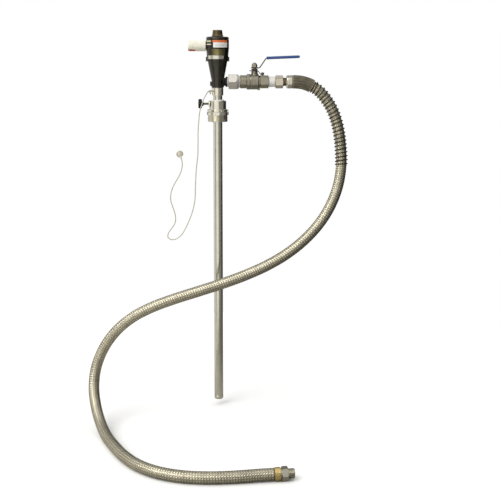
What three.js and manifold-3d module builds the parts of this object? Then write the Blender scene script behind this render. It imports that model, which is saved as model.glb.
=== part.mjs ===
// A drum pump with an air motor: motor head, suction tube, bung adapter, ball valve,
// braided hose and ground wire. Millimetres, +Z up.
// The origin is on the tube's axis, in the plane where the bung adapter seats on the drum.
// +X points from the tube to the outlet valve, and -Y is the side that the rating label faces.

import * as THREE from "three";
import { mergeVertices } from "three/addons/utils/BufferGeometryUtils.js";
import Module from "manifold-3d";

const wasm = await Module();
wasm.setup();

// ---------------------------------------------------------------- driving dimensions

const GAP = 0.3; // between pieces that touch
const ROUND = 24; // sides of a large turned piece
const MEDIUM = 18;
const SMALL = 12;

const TUBE_R = 13.6; // 20A pipe
const TUBE_BORE_R = 12;
const TUBE_FOOT_Z = -880;
const FOOT_H = 12;
const SHAFT_R = 4;
const SHAFT_HOLE_R = SHAFT_R + GAP;

const COLLAR_R = 16.75;
const COLLAR_Z = [58, 80.7];
const CONE_Z = [81, 157.9];
const FLANGE_TOP_Z = 161.2;
const FLANGE_R = 31.5;
const EAR_X = 31.2; // flange screws, on both sides of the axis
const HOUSING_Z = [161.6, 221.1];
const HOUSING_R = 33.75;
const HOUSING_BORE_R = 27;
const CAP_Z = [221.4, 231];
const INLET_TOP_Z = 249.6;
const EXHAUST_Z = 203;
const LINER_R = 26.7;
const LINER_OFFSET = 2.5; // the liner's bore is off the rotor's axis
const ROTOR_R = 17.5;
const VANES = 4;

const OUTLET_Z = 98; // axis of the outlet, the valve and the start of the hose
const OUTLET_BORE_R = 9.5;
const NUT_X = [32.5, 62.7];
const NUT_FLATS = 43;
const VALVE_X = [66.3, 126.4];
const VALVE_END_X = [126.8, 150.7];
const STEM_X = 109.3;
const BALL_R = 14.5;
const STEM_R = 4.7;
const STOP_BOLT_X = 133.4;
const LEVER_Z = 137.5;
const LEVER_T = 3;
const NIPPLE_FLATS = 33.8;
const FERRULE_X = [203, 221];
const FERRULE_R = 19.7;

const SLEEVE_TOP_Z = 42; // bung adapter's clamp sleeve
const SLEEVE_R = 25;
const BUSH_R = 15.9;
const BUNG_THREAD_R = 29.8; // G2
const BUNG_THREAD_Z = -20;
const BUNG_FLANGE_R = 32.5;
const CLAMP_Z = 33;

const HOSE_R = 15.75;
const HOSE_STEPS = 64;
const SLEEVE_STEPS = 2; // steps of the hose inside the guard sleeve
const GUARD_STEPS = 8; // and inside the spring guard
const HOSE_SIDES = 10;
const WIRE_STEPS = 60;
const WIRE_SIDES = 8;
const GUARD_R = 19.5;
const GUARD_BORE_R = 16.9;
const WIRE_R = 1.5;

// The hose's axis, from its near ferrule to its far one: down in an open curve, then along the floor.
const HOSE_ROUTE = [
  [221.5, 0, 98],
  [231, 0, 98],
  [249, 0, 96.2],
  [267, 0, 91.2],
  [284, 0, 83],
  [300, 0, 71.5],
  [314, 0, 57.5],
  [334, -2, 29],
  [350, -4, -6],
  [361, -8, -48],
  [367.5, -14, -100],
  [368, -22, -155],
  [358, -33, -211],
  [337, -47, -264],
  [304, -64, -315],
  [260, -81, -361],
  [206, -96, -402],
  [145, -108, -436],
  [79, -117, -464],
  [10, -124, -488],
  [-60, -128, -510],
  [-129, -130, -532],
  [-194, -130, -557],
  [-252, -128, -589],
  [-302, -125, -633],
  [-339, -125, -687],
  [-360, -134, -744],
  [-363, -156, -797],
  [-351, -193, -842],
  [-330, -243, -873],
  [-306, -302, -884],
  [-278, -366, -884],
  [-243, -433, -884],
  [-197, -495, -884],
  [-141, -539, -884],
  [-76, -564, -884],
  [-6, -571, -884],
  [64, -566, -883.6],
  [115, -559, -882.6],
  [157, -554, -882.3],
];
const HOSE_END = [157, -554, -882.3];
const HOSE_END_TURN = 6.7; // degrees, from +X towards +Y

// The ground wire's axis, from the terminal on the collar to the terminal on the magnet.
const WIRE_ROUTE = [
  [-25.9, -15.2, 69.9],
  [-28.3, -24, 68.7],
  [-32.5, -36, 62.8],
  [-38.5, -46.5, 51.5],
  [-44.5, -50, 34.5],
  [-51.5, -48.5, 12],
  [-54.5, -47.5, -14],
  [-57, -46, -48],
  [-57.5, -44, -82],
  [-58.5, -42, -118],
  [-62.5, -41, -150],
  [-65, -40, -184],
  [-66.5, -39.5, -218],
  [-68, -39, -250],
  [-73.5, -38.5, -278],
  [-84, -38, -309],
  [-98, -38, -339],
  [-111, -38, -359],
  [-126, -38, -369.5],
  [-141, -38, -371],
  [-150, -38, -363],
  [-147, -38, -349],
  [-136, -38, -334],
  [-127.5, -38, -318],
  [-127, -38.5, -298],
  [-133, -39, -276],
  [-139.5, -39.5, -255],
  [-140, -40, -236],
  [-134, -40.5, -214],
  [-124, -41, -195],
  [-114, -41.5, -178],
  [-107, -42, -160],
  [-104.5, -42, -144],
  [-106, -42, -131.5],
];
const MAGNET = [-112, -42, -114]; // centre of the terminal on the magnet's front
const MAGNET_R = 10;

// ---------------------------------------------------------------- solids

// The closed solid of a three.js geometry, whichever way its profile runs.
function solid(geometry) {
  const bare = geometry.index ? geometry.toNonIndexed() : geometry.clone();
  bare.deleteAttribute("normal");
  bare.deleteAttribute("uv");
  const merged = mergeVertices(bare, 1e-4);
  const corners = merged.index.array;
  const points = merged.attributes.position.array;
  const faces = [];
  for (let i = 0; i < corners.length; i += 3) {
    const [a, b, c] = [corners[i], corners[i + 1], corners[i + 2]];
    if (a !== b && b !== c && c !== a) faces.push(a, b, c);
  }
  const made = fromFaces(points, faces);
  if (made.volume() >= 0) return made;
  for (let i = 0; i < faces.length; i += 3) [faces[i], faces[i + 1]] = [faces[i + 1], faces[i]];
  return fromFaces(points, faces);
}

function fromFaces(points, faces) {
  const mesh = new wasm.Mesh({
    numProp: 3,
    vertProperties: new Float32Array(points),
    triVerts: new Uint32Array(faces),
  });
  return new wasm.Manifold(mesh);
}

function join(first, ...others) {
  return others.reduce((whole, other) => whole.add(other), first);
}

function cut(first, ...others) {
  return others.reduce((whole, other) => whole.subtract(other), first);
}

// Turned about Z. The profile lists [radius, z] round the section; it need not repeat its first point.
function turned(profile, sides = ROUND) {
  const points = profile.map(([r, z]) => new THREE.Vector2(r, z));
  points.push(points[0].clone());
  return new THREE.LatheGeometry(points, sides).rotateX(Math.PI / 2);
}

// Turned about the outlet's axis, along X: the profile lists [radius, x].
function turnedX(profile, sides = ROUND) {
  const points = profile.map(([r, x]) => new THREE.Vector2(r, x));
  points.push(points[0].clone());
  return new THREE.LatheGeometry(points, sides).rotateZ(-Math.PI / 2).translate(0, 0, OUTLET_Z);
}

function ring(innerR, outerR, low, high, sides = ROUND) {
  return turned([[innerR, low], [outerR, low], [outerR, high], [innerR, high]], sides);
}

function ringX(innerR, outerR, low, high, sides = ROUND) {
  return turnedX([[innerR, low], [outerR, low], [outerR, high], [innerR, high]], sides);
}

function rod(r, low, high, sides = SMALL) {
  const length = high - low;
  return new THREE.CylinderGeometry(r, r, length, sides)
    .rotateX(Math.PI / 2)
    .translate(0, 0, (low + high) / 2);
}

function rodX(r, low, high, z = OUTLET_Z, sides = SMALL) {
  return new THREE.CylinderGeometry(r, r, high - low, sides)
    .rotateZ(Math.PI / 2)
    .translate((low + high) / 2, 0, z);
}

function block(lowCorner, highCorner) {
  const size = highCorner.map((high, i) => high - lowCorner[i]);
  const middle = highCorner.map((high, i) => (high + lowCorner[i]) / 2);
  return new THREE.BoxGeometry(...size).translate(...middle);
}

// A prism of equal flats about Z, with a flat facing -Y.
function prism(sides, flats, low, high) {
  const cornerR = flats / 2 / Math.cos(Math.PI / sides);
  return new THREE.CylinderGeometry(cornerR, cornerR, high - low, sides)
    .rotateX(Math.PI / 2)
    .rotateZ(Math.PI / sides)
    .translate(0, 0, (low + high) / 2);
}

// The same along X, with flats facing up and down. A hexagon then has an edge facing -Y, and a flat
// facing -Y when it is turned by half a side.
function prismX(sides, flats, low, high, turn = 0, z = OUTLET_Z) {
  const cornerR = flats / 2 / Math.cos(Math.PI / sides);
  return new THREE.CylinderGeometry(cornerR, cornerR, high - low, sides)
    .rotateZ(Math.PI / 2)
    .rotateX(Math.PI / sides + turn)
    .translate((low + high) / 2, 0, z);
}

// A flat outline of [x, z] points, as thick as its range along Y.
function plateAcross(outline, lowY, highY) {
  const shape = new THREE.Shape(outline.map(([x, z]) => new THREE.Vector2(x, z)));
  return new THREE.ExtrudeGeometry(shape, { depth: highY - lowY, bevelEnabled: false })
    .rotateX(Math.PI / 2)
    .translate(0, highY, 0);
}

// A flat outline of [x, y] points between two heights.
function plateFlat(outline, lowZ, highZ) {
  const shape = new THREE.Shape(outline.map(([x, y]) => new THREE.Vector2(x, y)));
  return new THREE.ExtrudeGeometry(shape, { depth: highZ - lowZ, bevelEnabled: false })
    .translate(0, 0, lowZ);
}

function routeCurve(route) {
  const points = route.map(([x, y, z]) => new THREE.Vector3(x, y, z));
  return new THREE.CatmullRomCurve3(points, false, "centripetal");
}

// A stretch of a longer curve, so that its steps fall on the longer curve's own steps.
class Stretch extends THREE.Curve {
  constructor(whole, from, to) {
    super();
    this.whole = whole;
    this.from = from;
    this.to = to;
  }

  getPoint(t, target = new THREE.Vector3()) {
    return this.whole.getPointAt(this.from + (this.to - this.from) * t, target);
  }

  getTangent(t, target = new THREE.Vector3()) {
    return this.whole.getTangentAt(this.from + (this.to - this.from) * t, target);
  }
}

// A round section drawn along a curve; with a bore it is a pipe.
function drawn(curve, outerR, boreR, sides, steps) {
  const circle = (r) => Array.from({ length: sides }, (_, i) => {
    const angle = (2 * Math.PI * i) / sides;
    return new THREE.Vector2(r * Math.cos(angle), r * Math.sin(angle));
  });
  const shape = new THREE.Shape(circle(outerR));
  if (boreR > 0) shape.holes.push(new THREE.Path(circle(boreR)));
  return new THREE.ExtrudeGeometry(shape, { extrudePath: curve, steps, bevelEnabled: false });
}

// ---------------------------------------------------------------- materials

function material(colour, roughness, metalness) {
  return new THREE.MeshStandardMaterial({ color: colour, roughness, metalness });
}

const FINISH = {
  blackBody: material(0x1d1a15, 0.35, 0.4),
  bronze: material(0x4a3a22, 0.35, 0.7),
  steel: material(0xb5b09c, 0.3, 1),
  polished: material(0xd0cab4, 0.15, 1),
  cast: material(0xa6a18d, 0.5, 1),
  blasted: material(0xcdc8be, 0.6, 0.9),
  darkSteel: material(0x5a554a, 0.4, 1),
  brass: material(0xb0883c, 0.3, 1),
  cream: material(0xe8e4d2, 0.8, 0),
  red: material(0xa03028, 0.5, 0),
  white: material(0xf2f0ea, 0.6, 0),
  blue: material(0x0a3a8c, 0.35, 0),
  blackPlastic: material(0x101010, 0.45, 0),
  sleeve: material(0x4c4538, 0.6, 0),
  spring: material(0x3d382d, 0.4, 1),
  braid: material(0xb3ac8c, 0.4, 1),
  rubber: material(0x171717, 0.8, 0),
  wire: material(0xd9d2c0, 0.5, 0),
};

const pump = new THREE.Group();
pump.name = "drum_pump";

function add(name, made, finish) {
  const whole = made instanceof THREE.BufferGeometry ? solid(made) : made;
  const mesh = whole.getMesh();
  const geometry = new THREE.BufferGeometry();
  geometry.setAttribute("position", new THREE.BufferAttribute(mesh.vertProperties, 3));
  geometry.setIndex(new THREE.BufferAttribute(mesh.triVerts, 1));
  geometry.computeVertexNormals();
  const node = new THREE.Mesh(geometry, finish);
  node.name = name;
  pump.add(node);
}

// ---------------------------------------------------------------- air motor

function airMotor() {
  add("air_inlet_fitting", turned([
    [8.5, 225.6], [13.6, 225.6], [13.6, 231.3], [17.5, 231.3], [17.5, 232.8], [15.6, 235],
    [13.8, 248.8], [13, INLET_TOP_Z], [8.5, INLET_TOP_Z],
  ]), FINISH.bronze);

  add("motor_top_cap", turned([
    [13.9, 225.2], [26.6, 225.2], [26.6, CAP_Z[0]], [33.5, CAP_Z[0]], [33.5, 224.6], [32.6, 227.2],
    [30, 229.4], [25.5, 230.7], [19, CAP_Z[1]], [13.9, CAP_Z[1]],
  ]), FINISH.blackBody);

  const [bottom, top] = HOUSING_Z;
  const shell = solid(turned([
    [8, bottom], [30.9, bottom], [31, 164], [HOUSING_R, 194], [HOUSING_R, top],
    [HOUSING_BORE_R, top], [HOUSING_BORE_R, 168], [8, 168],
  ]));
  const port = solid(rodX(11.5, -37, -28.5, EXHAUST_Z, MEDIUM));
  const portBore = solid(rodX(6.4, -40, -20, EXHAUST_Z));
  const pockets = [-1, 1].map((side) =>
    solid(rod(3.8, bottom - 1, 173).translate(side * EAR_X, 0, 0)));
  add("motor_housing", cut(join(shell, port), portBore, ...pockets), FINISH.blackBody);

  for (const [side, name] of [[-1, "flange_screw_left"], [1, "flange_screw_right"]]) {
    const head = solid(prism(6, 6.2, 161.6, 171.5).translate(side * EAR_X, 0, 0));
    const shank = solid(rod(2, 150, 162, SMALL).translate(side * EAR_X, 0, 0));
    add(name, join(head, shank), FINISH.darkSteel);
  }

  const offset = LINER_OFFSET;
  const liner = cut(
    solid(rod(LINER_R, 175.8, 211.8, ROUND)),
    solid(rod(21.5, 175, 213, ROUND).translate(offset, 0, 0)),
  );
  const linerPort = solid(rodX(5, -30, -15, EXHAUST_Z, SMALL));
  add("motor_liner", cut(liner, linerPort), FINISH.steel);

  const bearingR = 11;
  for (const [level, low, high] of [["lower", 168.4, 175.4], ["upper", 212.2, 219.2]]) {
    add(`${level}_end_plate`, ring(bearingR + GAP, LINER_R, low, high), FINISH.cast);
    add(`${level}_bearing`, ring(SHAFT_HOLE_R, bearingR, low, high, MEDIUM), FINISH.polished);
  }

  airExhaust();
}

// The porous silencer stands out of the housing's left side on its own hollow spigot.
function airExhaust() {
  const aroundX = (profile, sides) => turnedX(profile, sides).translate(0, 0, EXHAUST_Z - OUTLET_Z);
  add("exhaust_silencer", aroundX([
    [4, -44], [4, -27.6], [6.1, -27.6], [6.1, -37.4], [14.4, -37.4], [15.4, -40], [15.4, -82.6],
    [12, -82.6], [12, -44],
  ], MEDIUM), FINISH.cream);
  add("silencer_end_cap", aroundX([
    [0, -86.4], [13.6, -86.4], [15.2, -85.2], [15.2, -82.9], [11.6, -82.9], [11.6, -78], [0, -78],
  ], MEDIUM), FINISH.red);
}

// ---------------------------------------------------------------- pump head

function pumpHead() {
  const [low, high] = CONE_Z;
  const cone = solid(turned([
    [13.9, low], [18.5, low], [18.7, 84], [17.5, OUTLET_Z], [28.5, 156], [28.9, high],
    [FLANGE_R, high], [FLANGE_R, FLANGE_TOP_Z], [24.5, FLANGE_TOP_Z], [14, 100], [13.9, 89.5],
  ]));
  const ears = [-1, 1].map((side) => {
    const tip = side * 35.2;
    const root = side * 24.8;
    return solid(block([Math.min(tip, root), -6, high], [Math.max(tip, root), 6, FLANGE_TOP_Z]));
  });
  const earHoles = [-1, 1].map((side) =>
    solid(rod(2.4, 140, 170, SMALL).translate(side * EAR_X, 0, 0)));
  const branch = solid(turnedX([
    [0, 12], [11.5, 12], [11.5, 22.2], [15.3, 22.8], [15.3, 29], [13.2, 29], [13.2, 45], [0, 45],
  ], MEDIUM));
  const boss = solid(rodX(6.6, -22.4, -12, 92.5, SMALL));
  const bossRecess = solid(rodX(3.4, -24, -19, 92.5, SMALL));
  const cavity = solid(turned([
    [0, 80], [13.9, 80], [13.9, 89.5], [14, 100], [24.5, 161.2], [24.5, 165], [0, 165],
  ]));
  const bore = solid(rodX(OUTLET_BORE_R, 0, 50));
  const sealWall = solid(ring(9.3, 18.5, 118, 124));
  const body = cut(join(cone, ...ears, branch, boss), cavity, bore, bossRecess, ...earHoles);
  add("pump_head_cone", join(body, sealWall), FINISH.blackBody);
  add("shaft_seal", ring(SHAFT_HOLE_R, 9, 118.4, 123.6, MEDIUM), FINISH.rubber);

  const [collarLow, collarHigh] = COLLAR_Z;
  const collar = solid(ring(TUBE_R + GAP, COLLAR_R, collarLow, collarHigh));
  const lug = solid(block([-26.6, -4.6, 66], [-14.6, 4.6, 69]));
  const tubeSpace = solid(rod(TUBE_R + GAP, 50, 90, ROUND));
  const lugHole = solid(rod(2.3, 60, 75, SMALL).translate(-21.8, 0, 0));
  add("tube_collar", cut(join(collar, lug), tubeSpace, lugHole), FINISH.polished);
}

// ---------------------------------------------------------------- rotor, shaft and impeller

function drive() {
  const low = 176.2;
  const high = 211.4;
  const body = solid(rod(ROTOR_R, low, high, ROUND));
  const stubs = solid(rod(SHAFT_R, 147.2, 220.6));
  const slots = [];
  for (let i = 0; i < VANES; i++) {
    const slot = block([8.4, -1.5, low - 1], [ROTOR_R + 2, 1.5, high + 1]);
    slots.push(solid(slot.rotateZ((Math.PI * 2 * i) / VANES)));
  }
  add("motor_rotor", cut(join(body, stubs), ...slots), FINISH.steel);
  for (let i = 0; i < VANES; i++) {
    const vane = block([8.8, -1.2, low], [18.6, 1.2, high]);
    add(`vane_${i + 1}`, vane.rotateZ((Math.PI * 2 * i) / VANES), FINISH.sleeve);
  }

  add("shaft_coupling", ring(SHAFT_HOLE_R, 7.4, 136, 158, MEDIUM), FINISH.steel);
  add("drive_shaft", rod(SHAFT_R, -849.7, 146.8), FINISH.steel);

  const hub = solid(turned([
    [0, -862], [3, -861.4], [6.5, -857], [6.5, -842], [SHAFT_HOLE_R, -842], [SHAFT_HOLE_R, -850],
    [0, -850],
  ], MEDIUM));
  const blades = [];
  for (let i = 0; i < 4; i++) {
    const blade = new THREE.BoxGeometry(6.2, 1.8, 16).rotateX(0.7).translate(8.2, 0, -849.5);
    blades.push(solid(blade.rotateZ((Math.PI * i) / 2)));
  }
  const shaftSpace = solid(rod(SHAFT_HOLE_R, -850, -835));
  const sweep = solid(ring(3, 11.2, -862.5, -841.6, MEDIUM));
  const core = solid(rod(5, -861, -842, SMALL));
  const wheel = join(hub, ...blades).intersect(join(sweep, core));
  add("impeller", cut(wheel, shaftSpace), FINISH.steel);
}

// ---------------------------------------------------------------- suction tube

function suctionTube() {
  const tubeLow = TUBE_FOOT_Z + FOOT_H + GAP;
  add("suction_tube", ring(TUBE_BORE_R, TUBE_R, tubeLow, 89), FINISH.steel);
  const foot = turned([
    [10, TUBE_FOOT_Z], [12.2, TUBE_FOOT_Z], [TUBE_R, TUBE_FOOT_Z + 3], [TUBE_R, TUBE_FOOT_Z + FOOT_H],
    [TUBE_BORE_R - GAP, TUBE_FOOT_Z + FOOT_H], [TUBE_BORE_R - GAP, -863.5], [10, -863.5],
  ]);
  add("suction_foot", foot, FINISH.steel);
  [-280, -600].forEach((z, i) => {
    const disc = solid(ring(SHAFT_HOLE_R, TUBE_BORE_R - GAP, z - 7, z + 7, MEDIUM));
    const holes = [0, 1, 2, 3].map((k) => {
      const angle = (Math.PI * k) / 2;
      const hole = rod(2.6, z - 8, z + 8, SMALL);
      return solid(hole.translate(8 * Math.cos(angle), 8 * Math.sin(angle), 0));
    });
    add(`guide_bush_${i + 1}`, cut(disc, ...holes), FINISH.white);
  });
}

// ---------------------------------------------------------------- bung adapter

function bungAdapter() {
  const bush = solid(turned([
    [TUBE_R + GAP, 3], [BUSH_R, 3], [BUSH_R, SLEEVE_TOP_Z + GAP], [19, SLEEVE_TOP_Z + GAP],
    [19, 45], [TUBE_R + GAP, 45],
  ]));
  const split = solid(block([-1, 10, 0], [1, 22, 50]));
  add("adapter_bush", cut(bush, split), FINISH.white);

  const boreR = BUSH_R + GAP;
  const body = solid(turned([
    [boreR, BUNG_THREAD_Z], [19.5, BUNG_THREAD_Z], [19.5, -4], [26, -4], [26, BUNG_THREAD_Z],
    [BUNG_THREAD_R - 1, BUNG_THREAD_Z], [BUNG_THREAD_R, BUNG_THREAD_Z + 1], [BUNG_THREAD_R, 0],
    [BUNG_FLANGE_R, 0], [BUNG_FLANGE_R, 8.6], [27.2, 8.6], [27.2, 10.2], [29.5, 10.2], [29.5, 16],
    [SLEEVE_R, 16.4], [SLEEVE_R, SLEEVE_TOP_Z - 1], [SLEEVE_R - 1, SLEEVE_TOP_Z], [boreR, SLEEVE_TOP_Z],
  ]));
  const wings = [0, 1, 2, 3, 4, 5].map((i) =>
    solid(block([24, -5, 10.2], [31.6, 5, 16]).rotateZ((Math.PI * i) / 3)));
  const screwBoss = solid(rodX(8.4, -27.2, -20, CLAMP_Z));
  const screwHole = solid(rodX(3.9, -30, -14, CLAMP_Z, SMALL));
  const bore = solid(rod(boreR, -30, 60, ROUND));
  add("bung_adapter", cut(join(body, screwBoss, ...wings), screwHole, bore), FINISH.steel);
  add("clamp_pad", rodX(3.3, -18.8, -16.25, CLAMP_Z, SMALL), FINISH.brass);
  add("clamp_screw", rodX(3.5, -50, -19.1, CLAMP_Z, SMALL), FINISH.steel);

  const lobes = 4;
  const outline = Array.from({ length: 24 }, (_, i) => {
    const angle = (2 * Math.PI * i) / 24;
    const r = 11.9 + 2.1 * Math.cos(lobes * angle);
    return new THREE.Vector2(r * Math.cos(angle), r * Math.sin(angle));
  });
  const star = new THREE.ExtrudeGeometry(new THREE.Shape(outline), { depth: 10.5, bevelEnabled: false })
    .rotateY(Math.PI / 2)
    .translate(-57.5, 0, CLAMP_Z);
  const hub = solid(rodX(7, -48, -42.5, CLAMP_Z));
  const screwSpace = solid(rodX(3.8, -50.4, -40, CLAMP_Z, SMALL));
  add("clamp_knob", cut(join(solid(star), hub), screwSpace), FINISH.blackPlastic);
}

// ---------------------------------------------------------------- outlet and ball valve

function outletUnion() {
  const [low, high] = NUT_X;
  const nut = solid(prismX(6, NUT_FLATS, low, high));
  const chamfer = solid(turnedX([
    [0, low], [23, low], [24.9, low + 2.5], [24.9, high - 6], [20, high], [0, high],
  ], MEDIUM));
  const threadSpace = solid(rodX(13.6, low - 1, 50.6, OUTLET_Z, MEDIUM));
  const neckSpace = solid(rodX(10.4, low, high + 1, OUTLET_Z, MEDIUM));
  add("union_nut", cut(nut.intersect(chamfer), threadSpace, neckSpace), FINISH.blasted);
  add("union_gasket", ringX(8, 12.8, 45.3, 46.7, MEDIUM), FINISH.rubber);
  add("union_tailpiece", turnedX([
    [8, 47], [13, 47], [13, 50.2], [10, 50.2], [10, 63.2], [16.4, 64], [16.4, 83], [8, 83],
  ], MEDIUM), FINISH.steel);
}

function ballValve() {
  const [low, high] = VALVE_X;
  const shell = solid(turnedX([
    [16.8, low], [19.4, low], [19.4, 86], [22.9, 88], [22.9, 96], [22.1, 97.5], [22.6, 99], [22.6, 122],
    [21.4, 123.5], [21.4, high], [17, high], [17, 94.7], [9.7, 94.7], [9.7, 84], [16.8, 84],
  ]));
  const boss = solid(rod(9.6, OUTLET_Z + 15, 129, MEDIUM).translate(STEM_X, 0, 0));
  const foot = solid(block([118, -5, OUTLET_Z - 25.2], [126.4, 5, OUTLET_Z - 18]));
  const stemBore = solid(rod(STEM_R + GAP, OUTLET_Z, 125).translate(STEM_X, 0, 0));
  const packingBore = solid(rod(7.4, 121, 135, MEDIUM).translate(STEM_X, 0, 0));
  const cavity = solid(turnedX([[0, 94.7], [17, 94.7], [17, 130], [0, 130]]));
  add("valve_body", cut(join(shell, boss, foot), cavity, stemBore, packingBore), FINISH.cast);

  const [endLow, endHigh] = VALVE_END_X;
  const octagon = solid(prismX(8, 38, endLow, endHigh));
  const spigot = solid(ringX(9.7, 16.7, 124, endLow + 1, MEDIUM));
  const endBore = solid(turnedX([
    [0, 120], [9.7, 120], [9.7, 137], [15.1, 137], [15.1, 160], [0, 160],
  ], MEDIUM));
  const boltHole = solid(rod(2.7, 109, 130, SMALL).translate(STOP_BOLT_X, 0, 0));
  add("valve_end_cap", cut(join(octagon, spigot), endBore, boltHole), FINISH.cast);

  add("ball_seat_left", ringX(9.9, 14.4, 95, 98, MEDIUM), FINISH.white);
  add("ball_seat_right", ringX(9.9, 14.4, 120.6, 123.6, MEDIUM), FINISH.white);

  const ball = solid(new THREE.SphereGeometry(BALL_R, 20, 14).translate(STEM_X, 0, OUTLET_Z));
  const ballBore = solid(rodX(9.3, 90, 130, OUTLET_Z, MEDIUM));
  const tangSlot = solid(block([STEM_X - 1.9, -9, 109.2], [STEM_X + 1.9, 9, 115]));
  add("valve_ball", cut(ball, ballBore, tangSlot), FINISH.polished);
  const tang = solid(block([STEM_X - 1.5, -4.4, 109.6], [STEM_X + 1.5, 4.4, 114]));
  add("valve_stem", join(solid(rod(STEM_R, 112.9, 150.2).translate(STEM_X, 0, 0)), tang), FINISH.steel);
  add("stem_packing", ring(STEM_R + GAP, 7.1, 121.3, 125, SMALL).translate(STEM_X, 0, 0), FINISH.white);
  const glandHex = solid(prism(6, 16, 132.2, 136.6));
  const gland = join(glandHex, solid(rod(7.1, 125.3, 132.4)));
  const glandBore = solid(rod(STEM_R + GAP, 120, 140));
  add("gland_nut", cut(gland, glandBore).translate([STEM_X, 0, 0]), FINISH.darkSteel);
  stopBracket();
  valveLever();
}

// The bent plate under the gland nut is held by a bolt on the end cap.
function stopBracket() {
  const side = solid(plateAcross([
    [93.4, 129.3], [118.6, 129.3], [127.4, 118], [138, 118], [138, 120.2], [128.4, 120.2],
    [119.6, 131.8], [93.4, 131.8],
  ], -9, 9));
  const plan = solid(plateFlat([
    [93.4, -3.5], [101, -9], [117, -9], [123, -5], [138, -5], [138, 5], [123, 5], [117, 9],
    [101, 9], [93.4, 3.5],
  ], 110, 140));
  const glandHole = solid(rod(7.4, 110, 140).translate(STEM_X, 0, 0));
  const boltHole = solid(rod(2.7, 110, 140, SMALL).translate(STOP_BOLT_X, 0, 0));
  add("stop_bracket", cut(side.intersect(plan), glandHole, boltHole), FINISH.darkSteel);
  const bolt = join(solid(prism(6, 8, 120.5, 125.6)), solid(rod(2.4, 110.5, 121, SMALL)));
  add("stop_bolt", bolt.translate([STOP_BOLT_X, 0, 0]), FINISH.steel);
}

function valveLever() {
  const top = LEVER_Z + LEVER_T;
  const side = solid(plateAcross([
    [98.6, LEVER_Z], [125.4, LEVER_Z], [145, 166.4], [240, 170.4], [240, 173.4], [143.6, 169.4],
    [123.8, top], [98.6, top],
  ], -10.6, 10.6));
  const plan = solid(plateFlat([
    [98.6, -5], [102, -9.4], [107, -10.6], [113, -10.6], [120, -8], [128, -8], [136, -9.4], [240, -9.4],
    [240, 9.4], [136, 9.4], [128, 8], [120, 8], [113, 10.6], [107, 10.6], [102, 9.4], [98.6, 5],
  ], 130, 180));
  const stemHole = solid(rod(STEM_R + GAP, 130, 150).translate(STEM_X, 0, 0));
  add("valve_lever", cut(side.intersect(plan), stemHole), FINISH.darkSteel);

  const slope = Math.atan2(4, 95);
  const half = 4.3;
  const corner = 3.6;
  const wide = 11.2;
  const outline = new THREE.Shape();
  outline.moveTo(-wide + corner, -half);
  outline.lineTo(wide - corner, -half);
  outline.absarc(wide - corner, -half + corner, corner, -Math.PI / 2, 0);
  outline.lineTo(wide, half - corner);
  outline.absarc(wide - corner, half - corner, corner, 0, Math.PI / 2);
  outline.lineTo(-wide + corner, half);
  outline.absarc(-wide + corner, half - corner, corner, Math.PI / 2, Math.PI);
  outline.lineTo(-wide, -half + corner);
  outline.absarc(-wide + corner, -half + corner, corner, Math.PI, 1.5 * Math.PI);
  const bar = new THREE.ExtrudeGeometry(outline, { depth: 98, bevelEnabled: false, curveSegments: 3 })
    .rotateX(Math.PI / 2)
    .rotateZ(Math.PI / 2);
  const pocket = block([-1, -9.8, -2], [96, 9.8, 2]);
  const grip = cut(solid(bar), solid(pocket));
  const tilt = [0, -THREE.MathUtils.radToDeg(slope), 0];
  add("lever_grip", grip.rotate(tilt).translate([145.4, 0, 167.95]), FINISH.blue);

  const nutLow = top + GAP;
  const nut = solid(prism(6, 15, nutLow, nutLow + 8.7));
  const dome = solid(turned([
    [0, nutLow], [7.2, nutLow], [7.2, nutLow + 8.7], [5.6, 152.4], [2.4, 154.2], [0, 154.4],
  ], SMALL));
  const nutBore = solid(rod(STEM_R + GAP, nutLow - 1, 150.6));
  add("lever_nut", cut(join(nut, dome), nutBore).translate([STEM_X, 0, 0]), FINISH.steel);
}

// ---------------------------------------------------------------- hose

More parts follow.
